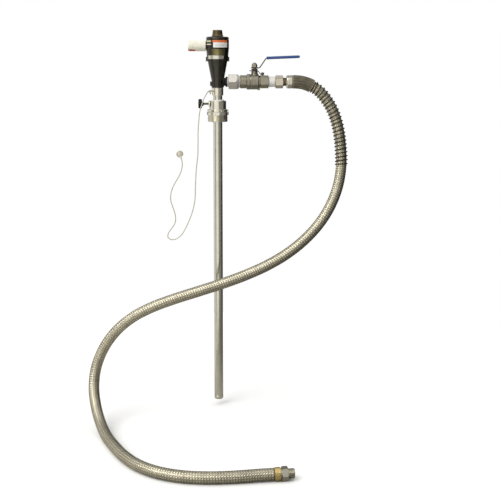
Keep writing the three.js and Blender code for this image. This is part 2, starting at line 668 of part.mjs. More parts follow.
function hoseLine() {
  const nipple = solid(turnedX([
    [8.5, 138], [14.8, 138], [14.8, 171.2], [12, 171.2], [12, 206], [8.5, 206],
  ], MEDIUM));
  const hex = solid(prismX(6, NIPPLE_FLATS, 171, 194.5, Math.PI / 6));
  const hexBore = solid(rodX(8.5, 130, 210, OUTLET_Z, MEDIUM));
  add("hose_nipple", cut(join(nipple, hex), hexBore), FINISH.cast);
  const [low, high] = FERRULE_X;
  add("hose_ferrule", turnedX([
    [12.4, low], [16, low], [FERRULE_R, low + 4], [FERRULE_R, high], [12.4, high],
  ]), FINISH.polished);

  const axis = routeCurve(HOSE_ROUTE);
  const sleeveEnd = SLEEVE_STEPS / HOSE_STEPS;
  const guardEnd = (SLEEVE_STEPS + GUARD_STEPS) / HOSE_STEPS;
  add("hose", drawn(axis, HOSE_R, 0, HOSE_SIDES, HOSE_STEPS), FINISH.braid);
  const sleeve = new Stretch(axis, 0, sleeveEnd);
  add("guard_sleeve", drawn(sleeve, 20, GUARD_BORE_R, HOSE_SIDES, SLEEVE_STEPS), FINISH.sleeve);
  const clear = 0.4 / axis.getLength();
  const guard = new Stretch(axis, sleeveEnd + clear, guardEnd);
  add("spring_guard", drawn(guard, GUARD_R, GUARD_BORE_R, HOSE_SIDES, GUARD_STEPS), FINISH.spring);

  const place = (made) => made.rotate([0, 0, HOSE_END_TURN]).translate(HOSE_END);
  const along = (profile, n) => turnedX(profile, n).translate(0, 0, -OUTLET_Z);
  add("end_ferrule", place(solid(along([
    [9.4, 0.4], [16.6, 0.4], [17.6, 1.4], [17.6, 15], [16.4, 16], [9.4, 16],
  ], MEDIUM))), FINISH.brass);
  const endHex = solid(prismX(6, 33.5, 18.4, 35, 0, 0));
  const endThread = solid(along([
    [9, 16.4], [14, 16.4], [14, 19], [13.2, 20], [13.2, 51], [12.2, 52.4], [9, 52.4],
  ], MEDIUM));
  const endBore = solid(rodX(9, 10, 60, 0, MEDIUM));
  add("end_fitting", place(cut(join(endHex, endThread), endBore)), FINISH.cast);
}

// ---------------------------------------------------------------- ground wire

function groundWire() {
  const eyelet = (barrelFrom, barrelTo, z) => {
    const eye = solid(ring(2.4, 4.6, z, z + 1.2, SMALL));
    const neck = solid(block([3.6, -1.5, z], [barrelFrom + 1, 1.5, z + 1.2]));
    const barrel = solid(rodX(2.1, barrelFrom, barrelTo, z + 0.6, SMALL));
    const clear = solid(rod(2.4, z - 3, z + 4, SMALL));
    return cut(join(eye, neck, barrel), clear);
  };
  const upper = eyelet(7, 15.3, 69.3).rotate([0, 0, 255]).translate([-21.8, 0, 0]);
  add("collar_terminal", upper, FINISH.steel);
  const screw = join(solid(prism(6, 6.4, 70.8, 74.2)), solid(rod(2, 61, 71, SMALL)));
  add("collar_screw", screw.translate([-21.8, 0, 0]), FINISH.steel);

  add("ground_wire", drawn(routeCurve(WIRE_ROUTE), WIRE_R, 0, WIRE_SIDES, WIRE_STEPS), FINISH.wire);

  const [x, y, z] = MAGNET;
  const lower = eyelet(10.8, 17.8, -0.6).rotate([-90, 0, 0]).rotate([0, 71, 0]).translate([x, y, z]);
  add("magnet_terminal", lower, FINISH.brass);
  const disc = solid(rod(MAGNET_R, 0, 9, MEDIUM));
  const stud = solid(rod(2, -3.2, 1, SMALL));
  add("ground_magnet", join(disc, stud).rotate([-90, 0, 0]).translate([x, y + 0.9, z]), FINISH.cast);
}

airMotor();
pumpHead();
drive();
suctionTube();
bungAdapter();
outletUnion();
ballValve();
hoseLine();
groundWire();

export default pump;
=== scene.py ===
"""A drum pump with an air motor, ball valve, braided hose and earth wire, built round its CAD frame."""

import math

import bmesh
import bpy
import numpy as np
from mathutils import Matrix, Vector


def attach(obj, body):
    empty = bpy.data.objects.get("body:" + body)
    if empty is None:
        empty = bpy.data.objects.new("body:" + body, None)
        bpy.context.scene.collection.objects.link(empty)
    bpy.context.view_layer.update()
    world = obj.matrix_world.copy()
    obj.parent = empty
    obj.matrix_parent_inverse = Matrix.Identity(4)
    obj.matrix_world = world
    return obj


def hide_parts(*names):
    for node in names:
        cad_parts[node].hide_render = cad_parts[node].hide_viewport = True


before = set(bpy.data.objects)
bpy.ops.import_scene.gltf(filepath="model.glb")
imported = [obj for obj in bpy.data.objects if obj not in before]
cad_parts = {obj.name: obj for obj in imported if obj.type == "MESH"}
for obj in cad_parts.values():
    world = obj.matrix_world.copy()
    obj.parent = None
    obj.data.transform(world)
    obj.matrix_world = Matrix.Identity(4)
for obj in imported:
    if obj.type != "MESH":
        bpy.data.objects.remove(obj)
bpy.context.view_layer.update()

MM = 0.001
PIPE_PITCH = 2.309  # eleven threads to the inch
TINY = 1e-6
SHARP = math.radians(34)  # edges that turn by more than this stay sharp
HEAVY_MESH = 60000  # faces in a mesh too fine to need its normals weighted
OUTLET_Z = 98.0  # axis of the outlet and the valve
EXHAUST_Z = 203.0
CLAMP_Z = 33.0
STEM_X = 109.3
STOP_BOLT_X = 133.4
EAR_X = 31.2
ORIGIN = (0, 0, 0)
AT_OUTLET = (0, 0, OUTLET_Z)
AT_EXHAUST = (0, 0, EXHAUST_Z)
AT_CLAMP = (0, 0, CLAMP_Z)
AT_BLIND_BOSS = (0, 0, 92.5)
AT_STEM = (STEM_X, 0, 0)
AT_STOP_BOLT = (STOP_BOLT_X, 0, 0)
AT_LUG = (-21.8, 0, 0)
FLOOR_Z = -0.9002

scene = bpy.context.scene

# ------------------------------ camera

CAMERA_AT = (0.0861, -2.9, 0.1726)
CAMERA_TILT = 0.1470  # radians below level
CAMERA_PAN = -0.0034
CAMERA_ROLL = -0.0009
CAMERA_RISE = -0.10  # the lens is lowered, which keeps the tube upright
SENSOR = 36.0
FOCAL_LENGTH = 69.8256

camera = bpy.data.objects.new("camera", bpy.data.cameras.new("camera"))
scene.collection.objects.link(camera)
camera.location = CAMERA_AT
camera.rotation_euler = (math.pi / 2 - CAMERA_TILT, CAMERA_ROLL, CAMERA_PAN)
camera.data.sensor_width = SENSOR
camera.data.lens = FOCAL_LENGTH
camera.data.shift_y = CAMERA_RISE
camera.data.clip_end = 100
scene.camera = camera

# ------------------------------ mesh helpers


def fresh(name, points, faces):
    """A mesh object from points in millimetres, with its normals outwards."""
    mesh = bpy.data.meshes.new(name)
    mesh.from_pydata((np.asarray(points, float) * MM).tolist(), [], faces)
    obj = bpy.data.objects.new(name, mesh)
    scene.collection.objects.link(obj)
    bm = bmesh.new()
    bm.from_mesh(mesh)
    bmesh.ops.recalc_face_normals(bm, faces=bm.faces[:])
    bm.to_mesh(mesh)
    bm.free()
    return obj


def rounded(outline, radius, steps=3):
    """A closed outline with each corner off the axis rounded."""
    out = []
    points = [np.array(p, float) for p in outline]
    for i, corner in enumerate(points):
        a, b = points[i - 1] - corner, points[(i + 1) % len(points)] - corner
        la, lb = np.linalg.norm(a), np.linalg.norm(b)
        half = math.acos(np.clip(a @ b / (la * lb), -1, 1)) / 2
        if corner[0] < TINY or half > math.radians(84) or radius == 0:
            out.append(corner)
            continue
        reach = min(radius / math.tan(half), 0.42 * la, 0.42 * lb)
        start, end = corner + a / la * reach, corner + b / lb * reach
        for k in range(steps + 1):
            t = k / steps
            out.append((1 - t) ** 2 * start + 2 * t * (1 - t) * corner + t * t * end)
    return out


def placed(points, axis, at):
    """Points made about Z, turned so that their Z lies along the axis, then moved."""
    x, y, z = np.asarray(points, float).T
    if axis == "x":
        x, y, z = z, x, y
    elif axis == "y":
        x, y, z = x, z, -y
    return np.stack([x, y, z], 1) + np.array(at, float)


def skin(name, layers):
    """A closed sheet from the points of its two sides, each a grid of rows."""
    layers = np.asarray(layers, float)
    index = np.arange(layers[..., 0].size).reshape(layers.shape[:3])
    faces = []

    def strip(a, b):
        for k in range(len(a) - 1):
            faces.append((int(a[k]), int(a[k + 1]), int(b[k + 1]), int(b[k])))

    for side in index:
        for a, b in zip(side, side[1:]):
            strip(a, b)
    for edge in (0, -1):
        strip(index[0][edge], index[1][edge])
        strip(index[0][:, edge], index[1][:, edge])
    return fresh(name, layers.reshape(-1, 3), faces)


def lathe(name, outline, axis="z", at=ORIGIN, sides=80, radius=0.4):
    """A turned solid: the outline lists (radius, height) round the section."""
    section = rounded(outline, radius)
    points, rings = [], []
    for r, z in section:
        if r < TINY:
            rings.append([len(points)] * sides)
            points.append((0, 0, z))
            continue
        rings.append(list(range(len(points), len(points) + sides)))
        for k in range(sides):
            a = 2 * math.pi * (k + 0.5) / sides
            points.append((r * math.cos(a), r * math.sin(a), z))
    faces = []
    for i, ring in enumerate(rings):
        after = rings[(i + 1) % len(rings)]
        if ring[0] == ring[1] and after[0] == after[1]:
            continue
        for k in range(sides):
            n = (k + 1) % sides
            face = [ring[k], ring[n], after[n], after[k]]
            faces.append(tuple(dict.fromkeys(face)))
    return fresh(name, placed(points, axis, at), faces)


def loft(name, points, sides, closed=False):
    """Rings of points joined into a skin, closed on itself or with a flat face at each end."""
    points = np.asarray(points, float).reshape(-1, 3)
    rings = np.arange(len(points)).reshape(-1, sides).tolist()
    faces = [] if closed else [tuple(rings[0]), tuple(rings[-1])]
    for a, b in zip(rings, rings[1:] + rings[:closed]):
        faces += [(a[k], a[k + 1 - sides], b[k + 1 - sides], b[k]) for k in range(sides)]
    return fresh(name, points, faces)


def tubular(name, radii, heights, bore, axis="z", at=ORIGIN):
    """A pipe whose outside is a grid of radii, one row for each height."""
    sides = radii.shape[1]
    turn = 2 * np.pi * np.arange(sides) / sides
    radii = np.vstack([radii, np.full((2, sides), bore)])
    heights = np.repeat(np.r_[heights, heights[-1], heights[0]][:, None], sides, 1)
    grid = np.stack([radii * np.cos(turn), radii * np.sin(turn), heights], 2)
    return loft(name, placed(grid.reshape(-1, 3), axis, at), sides, True)


def rod(name, r, low, high, axis="z", at=ORIGIN, sides=80):
    """A plain round rod, to drill with or to build on."""
    return lathe(name, [(0, low), (r, low), (r, high), (0, high)], axis, at, sides, 0)


def thread(name, crest, depth, pitch, low, high, bore, axis="z", at=ORIGIN, sides=64, rows=8):
    """An outside screw thread that fades out at both ends."""
    count = int(round((high - low) / pitch * rows)) + 1
    heights = np.linspace(low, high, count)
    turn = np.arange(sides) / sides
    phase = (heights[:, None] / pitch - turn[None, :]) % 1
    wave = np.clip(1.35 * np.abs(2 * phase - 1) - 0.1, 0, 1)
    fade = np.clip(np.minimum(heights - low, high - heights) / (0.9 * pitch), 0, 1)[:, None]
    radii = crest - depth * (wave * fade + (1 - fade))
    return tubular(name, radii, heights, bore, axis, at)


def slab(name, outline, low, high, axis="z", at=ORIGIN):
    """A flat outline drawn out between two heights."""
    points = [(x, y, z) for z in (low, high) for x, y in outline]
    return loft(name, placed(points, axis, at), len(outline))


def prism(name, sides, flats, low, high, axis="z", at=ORIGIN, turn=0.0):
    """A prism of equal flats. At no turn a flat faces -Y."""
    r = flats / 2 / math.cos(math.pi / sides)
    angles = [-math.pi / 2 + math.pi / sides + turn + 2 * math.pi * k / sides for k in range(sides)]
    outline = [(r * math.cos(a), r * math.sin(a)) for a in angles]
    if axis == "x":  # the axis change takes -X to -Y, so the flat turns with it
        outline = [(y, -x) for x, y in outline]
    return slab(name, outline, low, high, axis, at)


def box(name, low, high):
    outline = [(low[0], low[1]), (high[0], low[1]), (high[0], high[1]), (low[0], high[1])]
    return slab(name, outline, low[2], high[2])


def combine(base, operation, *others):
    """The base after a boolean with each other solid, which is used up."""
    for other in others:
        modifier = base.modifiers.new("boolean", "BOOLEAN")
        modifier.operation = operation
        modifier.solver = "EXACT"
        modifier.object = other
        depsgraph = bpy.context.evaluated_depsgraph_get()
        mesh = bpy.data.meshes.new_from_object(base.evaluated_get(depsgraph))
        base.modifiers.clear()
        base.data = mesh
        bpy.data.objects.remove(other)
    return base


def fuse(base, *others):
    return combine(base, "UNION", *others)


def carve(base, *others):
    return combine(base, "DIFFERENCE", *others)


def headed(name, sides, flats, outline, axis="z", at=ORIGIN, turn=0.0, low=None, round_sides=40):
    """A prism cut back by a turned outline, as the head of a bolt or nut is."""
    low = outline[0][1] if low is None else low
    solid = prism(name, sides, flats, low, outline[-1][1], axis, at, turn)
    return combine(solid, "INTERSECT", lathe("turned", outline, axis, at, round_sides, 0))


def merge(base, *others):
    """The base with the others' shells in the same mesh, as pieces pressed or screwed together."""
    bm = bmesh.new()
    for obj in (base, *others):
        bm.from_mesh(obj.data)
    bm.to_mesh(base.data)
    bm.free()
    for other in others:
        bpy.data.objects.remove(other)
    return base


def spun(obj, turns, to=ORIGIN):
    """Turns a piece about the origin by (axis, degrees) in order, then moves it in millimetres."""
    for axis, degrees in turns:
        c, s = math.cos(math.radians(degrees)), math.sin(math.radians(degrees))
        for vertex in obj.data.vertices:
            x, y, z = vertex.co
            if axis == "z":
                vertex.co = (x * c - y * s, x * s + y * c, z)
            elif axis == "x":
                vertex.co = (x, y * c - z * s, y * s + z * c)
            else:
                vertex.co = (x * c + z * s, y, -x * s + z * c)
    for vertex in obj.data.vertices:
        vertex.co += Vector(to) * MM
    return obj


def shade(obj):
    """Smooth shading with sharp edges kept."""
    bm = bmesh.new()
    bm.from_mesh(obj.data)
    for face in bm.faces:
        face.smooth = True
    for edge in bm.edges:
        edge.smooth = len(edge.link_faces) == 2 and edge.calc_face_angle(0) < SHARP
    bm.to_mesh(obj.data)
    bm.free()


def finish(obj, look, *nodes, body="pump", slot=None, bevel=0.0, segments=2):
    """Shades a piece, bevels it, gives it its look, and sets what it rides on and stands for."""
    shade(obj)
    if bevel:
        edge = obj.modifiers.new("bevel", "BEVEL")
        edge.width = bevel * MM
        edge.segments = segments
        edge.limit_method = "ANGLE"
        edge.angle_limit = SHARP
        edge.use_clamp_overlap = True
    if len(obj.data.polygons) < HEAVY_MESH:
        weighted = obj.modifiers.new("normals", "WEIGHTED_NORMAL")
        weighted.keep_sharp = not bevel
    looks = look if isinstance(look, (list, tuple)) else [look]
    if not obj.data.materials:
        for one in looks:
            obj.data.materials.append(one)
    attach(obj, body)
    if nodes:
        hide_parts(*nodes)
    return obj


# ------------------------------ curves and sweeps


def smooth_line(route, step):
    """Points a step apart on the centripetal curve through a route, in millimetres."""
    p = [np.array(q, float) for q in route]
    p = [2 * p[0] - p[1]] + p + [2 * p[-1] - p[-2]]
    fine = []
    for a, b, c, d in zip(p, p[1:], p[2:], p[3:]):
        t0, t1, t2 = (np.linalg.norm(v - u) ** 0.5 for u, v in ((a, b), (b, c), (c, d)))
        start = ((b - a) / t0 - (c - a) / (t0 + t1) + (c - b) / t1) * t1
        end = ((c - b) / t1 - (d - b) / (t1 + t2) + (d - c) / t2) * t1
        t = np.linspace(0, 1, 60, endpoint=False)[:, None]
        bend, twist = 3 * (c - b) - 2 * start - end, 2 * (b - c) + start + end
        fine.append(b + start * t + bend * t**2 + twist * t**3)
    fine = np.concatenate([*fine, p[-2][None]])
    along = np.r_[0, np.cumsum(np.linalg.norm(np.diff(fine, axis=0), axis=1))]
    count = max(2, int(round(along[-1] / step)) + 1)
    at = np.linspace(0, along[-1], count)
    return np.stack([np.interp(at, along, fine[:, k]) for k in range(3)], 1)


def carried(line):
    """Two normals at each point of a line that turn no more than the line does."""
    tangent = np.gradient(line, axis=0)
    tangent /= np.linalg.norm(tangent, axis=1)[:, None]
    normal = np.zeros_like(line)
    n = np.array([0.0, 0, 1])
    for i, t in enumerate(tangent):
        n = n - (n @ t) * t
        n /= np.linalg.norm(n)
        normal[i] = n
    return tangent, normal, np.cross(tangent, normal)


def around(line, radii, angles, rows=slice(None)):
    """Points at radii and angles round each point of a line, or round those rows of it."""
    _, normal, beside = carried(line)
    line, normal, beside = (part[rows, None] for part in (line, normal, beside))
    out = np.cos(angles)[..., None] * normal + np.sin(angles)[..., None] * beside
    return line + radii[..., None] * out


# ------------------------------ materials


class Nodes:
    """A node tree in the making."""

    def __init__(self, tree):
        self.nodes, self.links = tree.nodes, tree.links

    def add(self, kind, **values):
        node = self.nodes.new(kind)
        for key, value in values.items():
            setattr(node, key, value)
        return node

    def link(self, start, end):
        self.links.new(start, end)

    def spread(self, value, low, high, from_low=0.3, from_high=0.7):
        node = self.add("ShaderNodeMapRange")
        node.inputs["From Min"].default_value = from_low
        node.inputs["From Max"].default_value = from_high
        node.inputs["To Min"].default_value = low
        node.inputs["To Max"].default_value = high
        self.link(value, node.inputs["Value"])
        return node.outputs["Result"]

    def maths(self, operation, a, b):
        node = self.add("ShaderNodeMath", operation=operation)
        for socket, value in zip(node.inputs, (a, b)):
            if isinstance(value, (int, float)):
                socket.default_value = value
            else:
                self.link(value, socket)
        return node.outputs[0]

    def mix(self, factor, a, b):
        node = self.add("ShaderNodeMix", data_type="RGBA")
        self.link(factor, node.inputs["Factor"])
        for socket, value in ((node.inputs[6], a), (node.inputs[7], b)):
            if isinstance(value, tuple):
                socket.default_value = (*value, 1)
            else:
                self.link(value, socket)
        return node.outputs[2]


class Look(Nodes):
    """A material in the making: object coordinates in metres, noises, and the shader's sockets."""

    def __init__(self, name, colour, roughness, metallic=0.0, **constants):
        self.material = bpy.data.materials.new(name)
        self.material.use_nodes = True
        super().__init__(self.material.node_tree)
        self.shader = self.nodes["Principled BSDF"]
        self.colour = colour
        self.roughness = roughness
        self.set("Base Color", (*colour, 1))
        self.set("Roughness", roughness)
        self.set("Metallic", metallic)
        for socket, value in constants.items():
            self.set(socket.replace("_", " "), value)
        self.heights = []

    def set(self, socket, value):
        self.shader.inputs[socket].default_value = value

    def coordinates(self, stretch=(1, 1, 1)):
        where = self.add("ShaderNodeTexCoord")
        mapping = self.add("ShaderNodeMapping")
        mapping.inputs["Scale"].default_value = stretch
        self.link(where.outputs["Object"], mapping.inputs["Vector"])
        return mapping.outputs["Vector"]

    def noise(self, scale, detail=3.0, stretch=(1, 1, 1), rough=0.55):
        node = self.add("ShaderNodeTexNoise")
        node.inputs["Scale"].default_value = scale
        node.inputs["Detail"].default_value = detail
        node.inputs["Roughness"].default_value = rough
        self.link(self.coordinates(stretch), node.inputs["Vector"])
        return node.outputs["Fac"]

    def blotches(self, scale, dark, light, detail=4.0, stretch=(1, 1, 1)):
        """Colour that wanders between a darker and a lighter share of the base colour."""
        share = self.spread(self.noise(scale, detail, stretch), 0, 1)
        now = self.shader.inputs["Base Color"]
        base = now.links[0].from_socket if now.is_linked else None
        low, high = (tuple(min(1.0, c * k) for c in self.colour) for k in (dark, light))
        made = self.mix(share, low, high)
        if base is not None:
            blend = self.add("ShaderNodeMix", data_type="RGBA", blend_type="MULTIPLY")
            blend.inputs["Factor"].default_value = 1.0
            self.link(base, blend.inputs[6])
            self.link(self.mix(share, (dark,) * 3, (light,) * 3), blend.inputs[7])
            made = blend.outputs[2]
        self.link(made, now)
        return self

    def uneven(self, scale, low, high, detail=4.0, stretch=(1, 1, 1)):
        """Roughness that wanders between two values."""
        level = self.spread(self.noise(scale, detail, stretch), low, high)
        self.link(level, self.shader.inputs["Roughness"])
        return self

    def relief(self, scale, depth_mm, detail=3.0, stretch=(1, 1, 1)):
        """A bump of noise, as deep as it says."""
        noise = self.noise(scale, detail, stretch)
        self.heights.append(self.maths("MULTIPLY", noise, depth_mm * MM))
        return self

    def edges(self, colour, share=0.6, start=0.53, end=0.62):
        """A lighter colour along the convex edges: partly wear, partly a painted edge highlight."""
        geometry = self.add("ShaderNodeNewGeometry")
        wear_and_highlight = self.spread(geometry.outputs["Pointiness"], 0, share, start, end)
        now = self.shader.inputs["Base Color"]
        base = now.links[0].from_socket if now.is_linked else self.colour
        self.link(self.mix(wear_and_highlight, base, colour), now)
        return self

    def done(self, slot):
        if self.heights:
            height = self.heights[0]
            for other in self.heights[1:]:
                height = self.maths("ADD", height, other)
            bump = self.add("ShaderNodeBump")
            bump.inputs["Distance"].default_value = 1.0
            self.link(height, bump.inputs["Height"])
            self.link(bump.outputs["Normal"], self.shader.inputs["Normal"])
        self.material["slot"] = slot
        return self.material


def turned_metal(name, slot, colour, roughness, along="z", ridge=0.012, **constants):
    """Metal with the fine rings of turning or polishing round an axis."""
    stretch = {"z": (0.04, 0.04, 1), "x": (1, 0.04, 0.04), "y": (0.04, 1, 0.04)}[along]
    look = Look(name, colour, roughness, 1.0, **constants)
    look.blotches(45, 0.93, 1.05)
    look.blotches(2600, 0.96, 1.03, 2, stretch)
    look.uneven(900, roughness * 0.75, roughness * 1.3, 3, stretch)
    look.relief(2600, ridge, 2, stretch)
    return look.done(slot)


def cast_metal(name, slot, colour, roughness, grain=0.09, patchy=1.0):
    """An investment casting, shot-blasted: fine grain with soft dents and darker patches."""
    look = Look(name, colour, roughness, 1.0)
    look.blotches(110, 1 - 0.18 * patchy, 1 + 0.1 * patchy)
    look.blotches(900, 1 - 0.12 * patchy, 1 + 0.07 * patchy)
    look.uneven(300, roughness * 0.85, roughness * 1.2)
    look.relief(1700, grain, 4)
    look.relief(220, grain * 1.6, 2)
    look.edges(tuple(min(1, c * 1.35) for c in colour), 0.5)
    return look.done(slot)


def moulded(name, slot, colour, roughness, grain=0.02, **constants):
    """Moulded or painted plastic with a faint grain."""
    look = Look(name, colour, roughness, 0.0, **constants)
    look.blotches(70, 0.9, 1.08)
    look.uneven(260, roughness * 0.85, roughness * 1.2)
    look.relief(1500, grain, 3)
    look.relief(160, grain * 2, 2)
    return look.done(slot)


def black_coat():
    look = Look("black_coat", (0.048, 0.046, 0.037), 0.25, 0.92)
    look.blotches(45, 0.8, 1.25)
    look.blotches(600, 0.9, 1.08)
    look.uneven(350, 0.17, 0.27)
    look.relief(700, 0.02, 3)
    look.edges((0.07, 0.066, 0.05), 0.15)
    return look.done("black_body")


def bronze(name, colour, roughness, painted_shade_ends=False):
    look = Look(name, colour, roughness, 0.9)
    look.blotches(55, 0.75, 1.15)
    # painted shade: the colour darkens towards both ends in X, as the reflection on the band falls off at
    # its sides
    if painted_shade_ends:
        across = look.add("ShaderNodeSeparateXYZ")
        look.link(look.coordinates(), across.inputs["Vector"])
        ends = look.maths("ABSOLUTE", look.maths("SUBTRACT", across.outputs["X"], 0.003), 0)
        base = look.shader.inputs["Base Color"]
        dark = look.spread(ends, 0, 0.72, 0.0055, 0.015)
        look.link(look.mix(dark, base.links[0].from_socket, (0.06, 0.042, 0.018)), base)
    look.blotches(2400, 0.9, 1.08, 2, (0.04, 0.04, 1))
    look.uneven(700, roughness * 0.8, roughness * 1.25, 3, (0.05, 0.05, 1))
    look.relief(2400, 0.012, 2, (0.04, 0.04, 1))
    look.edges((0.5, 0.42, 0.26), 0.5)
    return look.done("bronze_fitting")


def porous_cream():
    look = Look("porous_cream", (0.80, 0.78, 0.66), 0.75)
    look.blotches(120, 0.93, 1.04)
    look.blotches(1400, 0.86, 1.04)
    look.relief(1900, 0.16, 4)
    look.relief(90, 0.25, 2, (0.15, 1, 1))
    return look.done("silencer_plastic")


def braid_wires():
    """Flat ribbons of fine wires: the wires run along each ribbon's own length."""
    look = Look("braid_wires", (0.78, 0.725, 0.565), 0.24, 1.0)
    ribbon = look.add("ShaderNodeUVMap", uv_map="ribbon")
    parts = look.add("ShaderNodeSeparateXYZ")
    look.link(ribbon.outputs["UV"], parts.inputs["Vector"])
    wave = look.add("ShaderNodeMath", operation="SINE")
    look.link(look.maths("MULTIPLY", parts.outputs["Y"], 2 * math.pi * 6), wave.inputs[0])
    ridge = look.maths("ADD", look.maths("MULTIPLY", wave.outputs[0], 0.5), 0.5)
    off = look.maths("ABSOLUTE", look.maths("SUBTRACT", parts.outputs["Y"], 0.5), 0)
    middle = look.maths("SUBTRACT", 0.5, off)
    shade_in = look.spread(middle, 0.0, 1.0, 0.0, 0.2)
    crossed = look.maths("GREATER_THAN", parts.outputs["X"], 1.5)
    # painted light: the ribbons of the second direction take a darker tone than the first, for their
    # different reflection
    painted_direction_tone = look.mix(crossed, (0.44, 0.405, 0.30), look.colour)
    # painted shade: the colour darkens to near black between the wires and at each ribbon's sides, where
    # the ribbons pass under each other
    groove = look.mix(look.maths("MULTIPLY", shade_in, look.spread(ridge, 0.35, 1, 0, 0.6)),
                      (0.06, 0.053, 0.036), painted_direction_tone)
    look.link(groove, look.shader.inputs["Base Color"])
    look.blotches(35, 0.86, 1.1)
    look.blotches(260, 0.8, 1.12)
    look.uneven(400, 0.18, 0.34)
    look.heights.append(look.maths("MULTIPLY", ridge, 0.09 * MM))
    look.relief(2500, 0.03, 2)
    return look.done("hose_braid")


def sleeve_rubber():
    look = Look("sleeve_rubber", (0.098, 0.087, 0.056), 0.36, Specular_IOR_Level=0.3)
    look.blotches(60, 0.7, 1.2)
    look.blotches(500, 0.8, 1.15)
    look.uneven(200, 0.4, 0.62)
    look.relief(900, 0.06, 4)
    # painted highlight: lighter tan on the crests of the ribs
    look.edges((0.30, 0.265, 0.19), 0.8, 0.51, 0.58)
    return look.done("guard_rubber")


def label_paper(name, slot, colour, roughness=0.35):
    look = Look(name, colour, roughness, 0.0, Coat_Weight=0.3, Coat_Roughness=0.2)
    look.blotches(150, 0.94, 1.02)
    look.uneven(400, roughness * 0.8, roughness * 1.2)
    look.relief(500, 0.02, 2)
    return look.done(slot)


BLACK = black_coat()
BRONZE = bronze("bronze_turned", (0.135, 0.10, 0.052), 0.28)
# painted reflection: this bronze colour stands in for a warm reflection on the black motor case
PAINTED_REFLECTION_BAND = bronze("painted_reflection_band", (0.25, 0.215, 0.095), 0.15, painted_shade_ends=True)
STEEL_Z = turned_metal("steel_polished_tube", "stainless", (0.60, 0.58, 0.50), 0.2, ridge=0.001)
STEEL_X = turned_metal("steel_turned_x", "stainless", (0.64, 0.61, 0.51), 0.3, "x")
STEEL_FAR = turned_metal("steel_turned_far", "cast_stainless", (0.50, 0.475, 0.39), 0.11, "x", ridge=0.004)
POLISHED_Z = turned_metal("polished_z", "polished_stainless", (0.68, 0.65, 0.55), 0.12, ridge=0.002)
POLISHED_X = turned_metal("polished_x", "polished_stainless", (0.56, 0.53, 0.45), 0.22, "x", ridge=0.004)
CAST = cast_metal("cast_valve", "cast_stainless", (0.255, 0.238, 0.186), 0.28, 0.05)
CAST_PALE = cast_metal("cast_pale", "cast_stainless", (0.62, 0.59, 0.49), 0.38, 0.05)
BLASTED = cast_metal("blasted", "blasted_stainless", (0.52, 0.495, 0.45), 0.46, 0.035, 0.4)
DARK_STEEL = cast_metal("dark_plate", "dark_steel", (0.062, 0.056, 0.042), 0.34, 0.03)
BRASS = turned_metal("brass_turned", "brass", (0.66, 0.49, 0.20), 0.1, "x", ridge=0.003)
CREAM = porous_cream()
RED = label_paper("red_mark", "red_plastic", (0.40, 0.03, 0.03))
TAPE = moulded("thread_tape", "white_plastic", (0.70, 0.69, 0.665), 0.42, 0.06)
WHITE = moulded("white_ptfe", "white_plastic", (0.84, 0.83, 0.79), 0.45)
VANE = moulded("vane_laminate", "vane_plastic", (0.12, 0.085, 0.05), 0.5)
BLUE = moulded("blue_vinyl", "blue_plastic", (0.003, 0.046, 0.20), 0.3,
               Coat_Weight=0.25, Coat_Roughness=0.2)
KNOB = moulded("black_knob", "black_plastic", (0.0035, 0.0035, 0.003), 0.5, Specular_IOR_Level=0.25)
RUBBER = moulded("seal_rubber", "seal_rubber", (0.022, 0.022, 0.02), 0.6, 0.04)
SLEEVE = sleeve_rubber()
SPRING = cast_metal("spring_wire", "spring_steel", (0.05, 0.045, 0.029), 0.34, 0.02)
BRAID = braid_wires()
WIRE = moulded("wire_cover", "wire_cover", (0.50, 0.465, 0.37), 0.4)
LABEL_WHITE = label_paper("label_white", "white_plastic", (0.80, 0.785, 0.74))
LABEL_ORANGE = label_paper("label_orange", "red_plastic", (0.72, 0.145, 0.03))
LABEL_GREEN = label_paper("label_green", "silencer_plastic", (0.45, 0.42, 0.24))
LABEL_PINK = label_paper("label_pink", "silencer_plastic", (0.62, 0.53, 0.48))
LABEL_PALE = label_paper("label_pale", "white_plastic", (0.66, 0.65, 0.64))
CREAM_CAP = moulded("cap_cream", "red_plastic", (0.80, 0.78, 0.66), 0.5)
LABEL_RED_PALE = label_paper("mark_pale", "red_plastic", (0.75, 0.42, 0.38))
FOIL = turned_metal("label_foil", "polished_stainless", (0.62, 0.60, 0.51), 0.2)
ADAPTER = turned_metal("adapter_steel", "stainless", (0.68, 0.655, 0.56), 0.14, ridge=0.003)
NIPPLE = turned_metal("nipple_steel", "cast_stainless", (0.55, 0.51, 0.41), 0.36, "x")

# ------------------------------ hose and earth wire

HOSE_ROUTE = [
    (221.5, 0, 98), (231, 0, 98), (249, 0, 96.2), (267, 0, 91.2), (284, 0, 83), (300, 0, 71.5),
    (314, 0, 57.5), (334, -2, 29), (350, -4, -6), (361, -8, -48), (367.5, -14, -100), (368, -22, -155),
    (358, -33, -211), (337, -47, -264), (304, -64, -315), (260, -81, -361), (206, -96, -402),
    (145, -108, -436), (79, -117, -464), (10, -124, -488), (-60, -128, -510), (-129, -130, -532),
    (-194, -130, -557), (-252, -128, -589), (-302, -125, -633), (-339, -125, -687), (-360, -134, -744),
    (-363, -156, -797), (-351, -193, -842), (-330, -243, -873), (-306, -302, -884), (-278, -366, -884),
    (-243, -433, -884), (-197, -495, -884), (-141, -539, -884), (-76, -564, -884), (-6, -571, -884),
    (64, -566, -883.6), (115, -559, -882.6), (157, -554, -882.3),
]
HOSE_END = (157, -554, -882.3)
HOSE_END_TURN = [("z", 6.7)]
HOSE_D = 0.0315
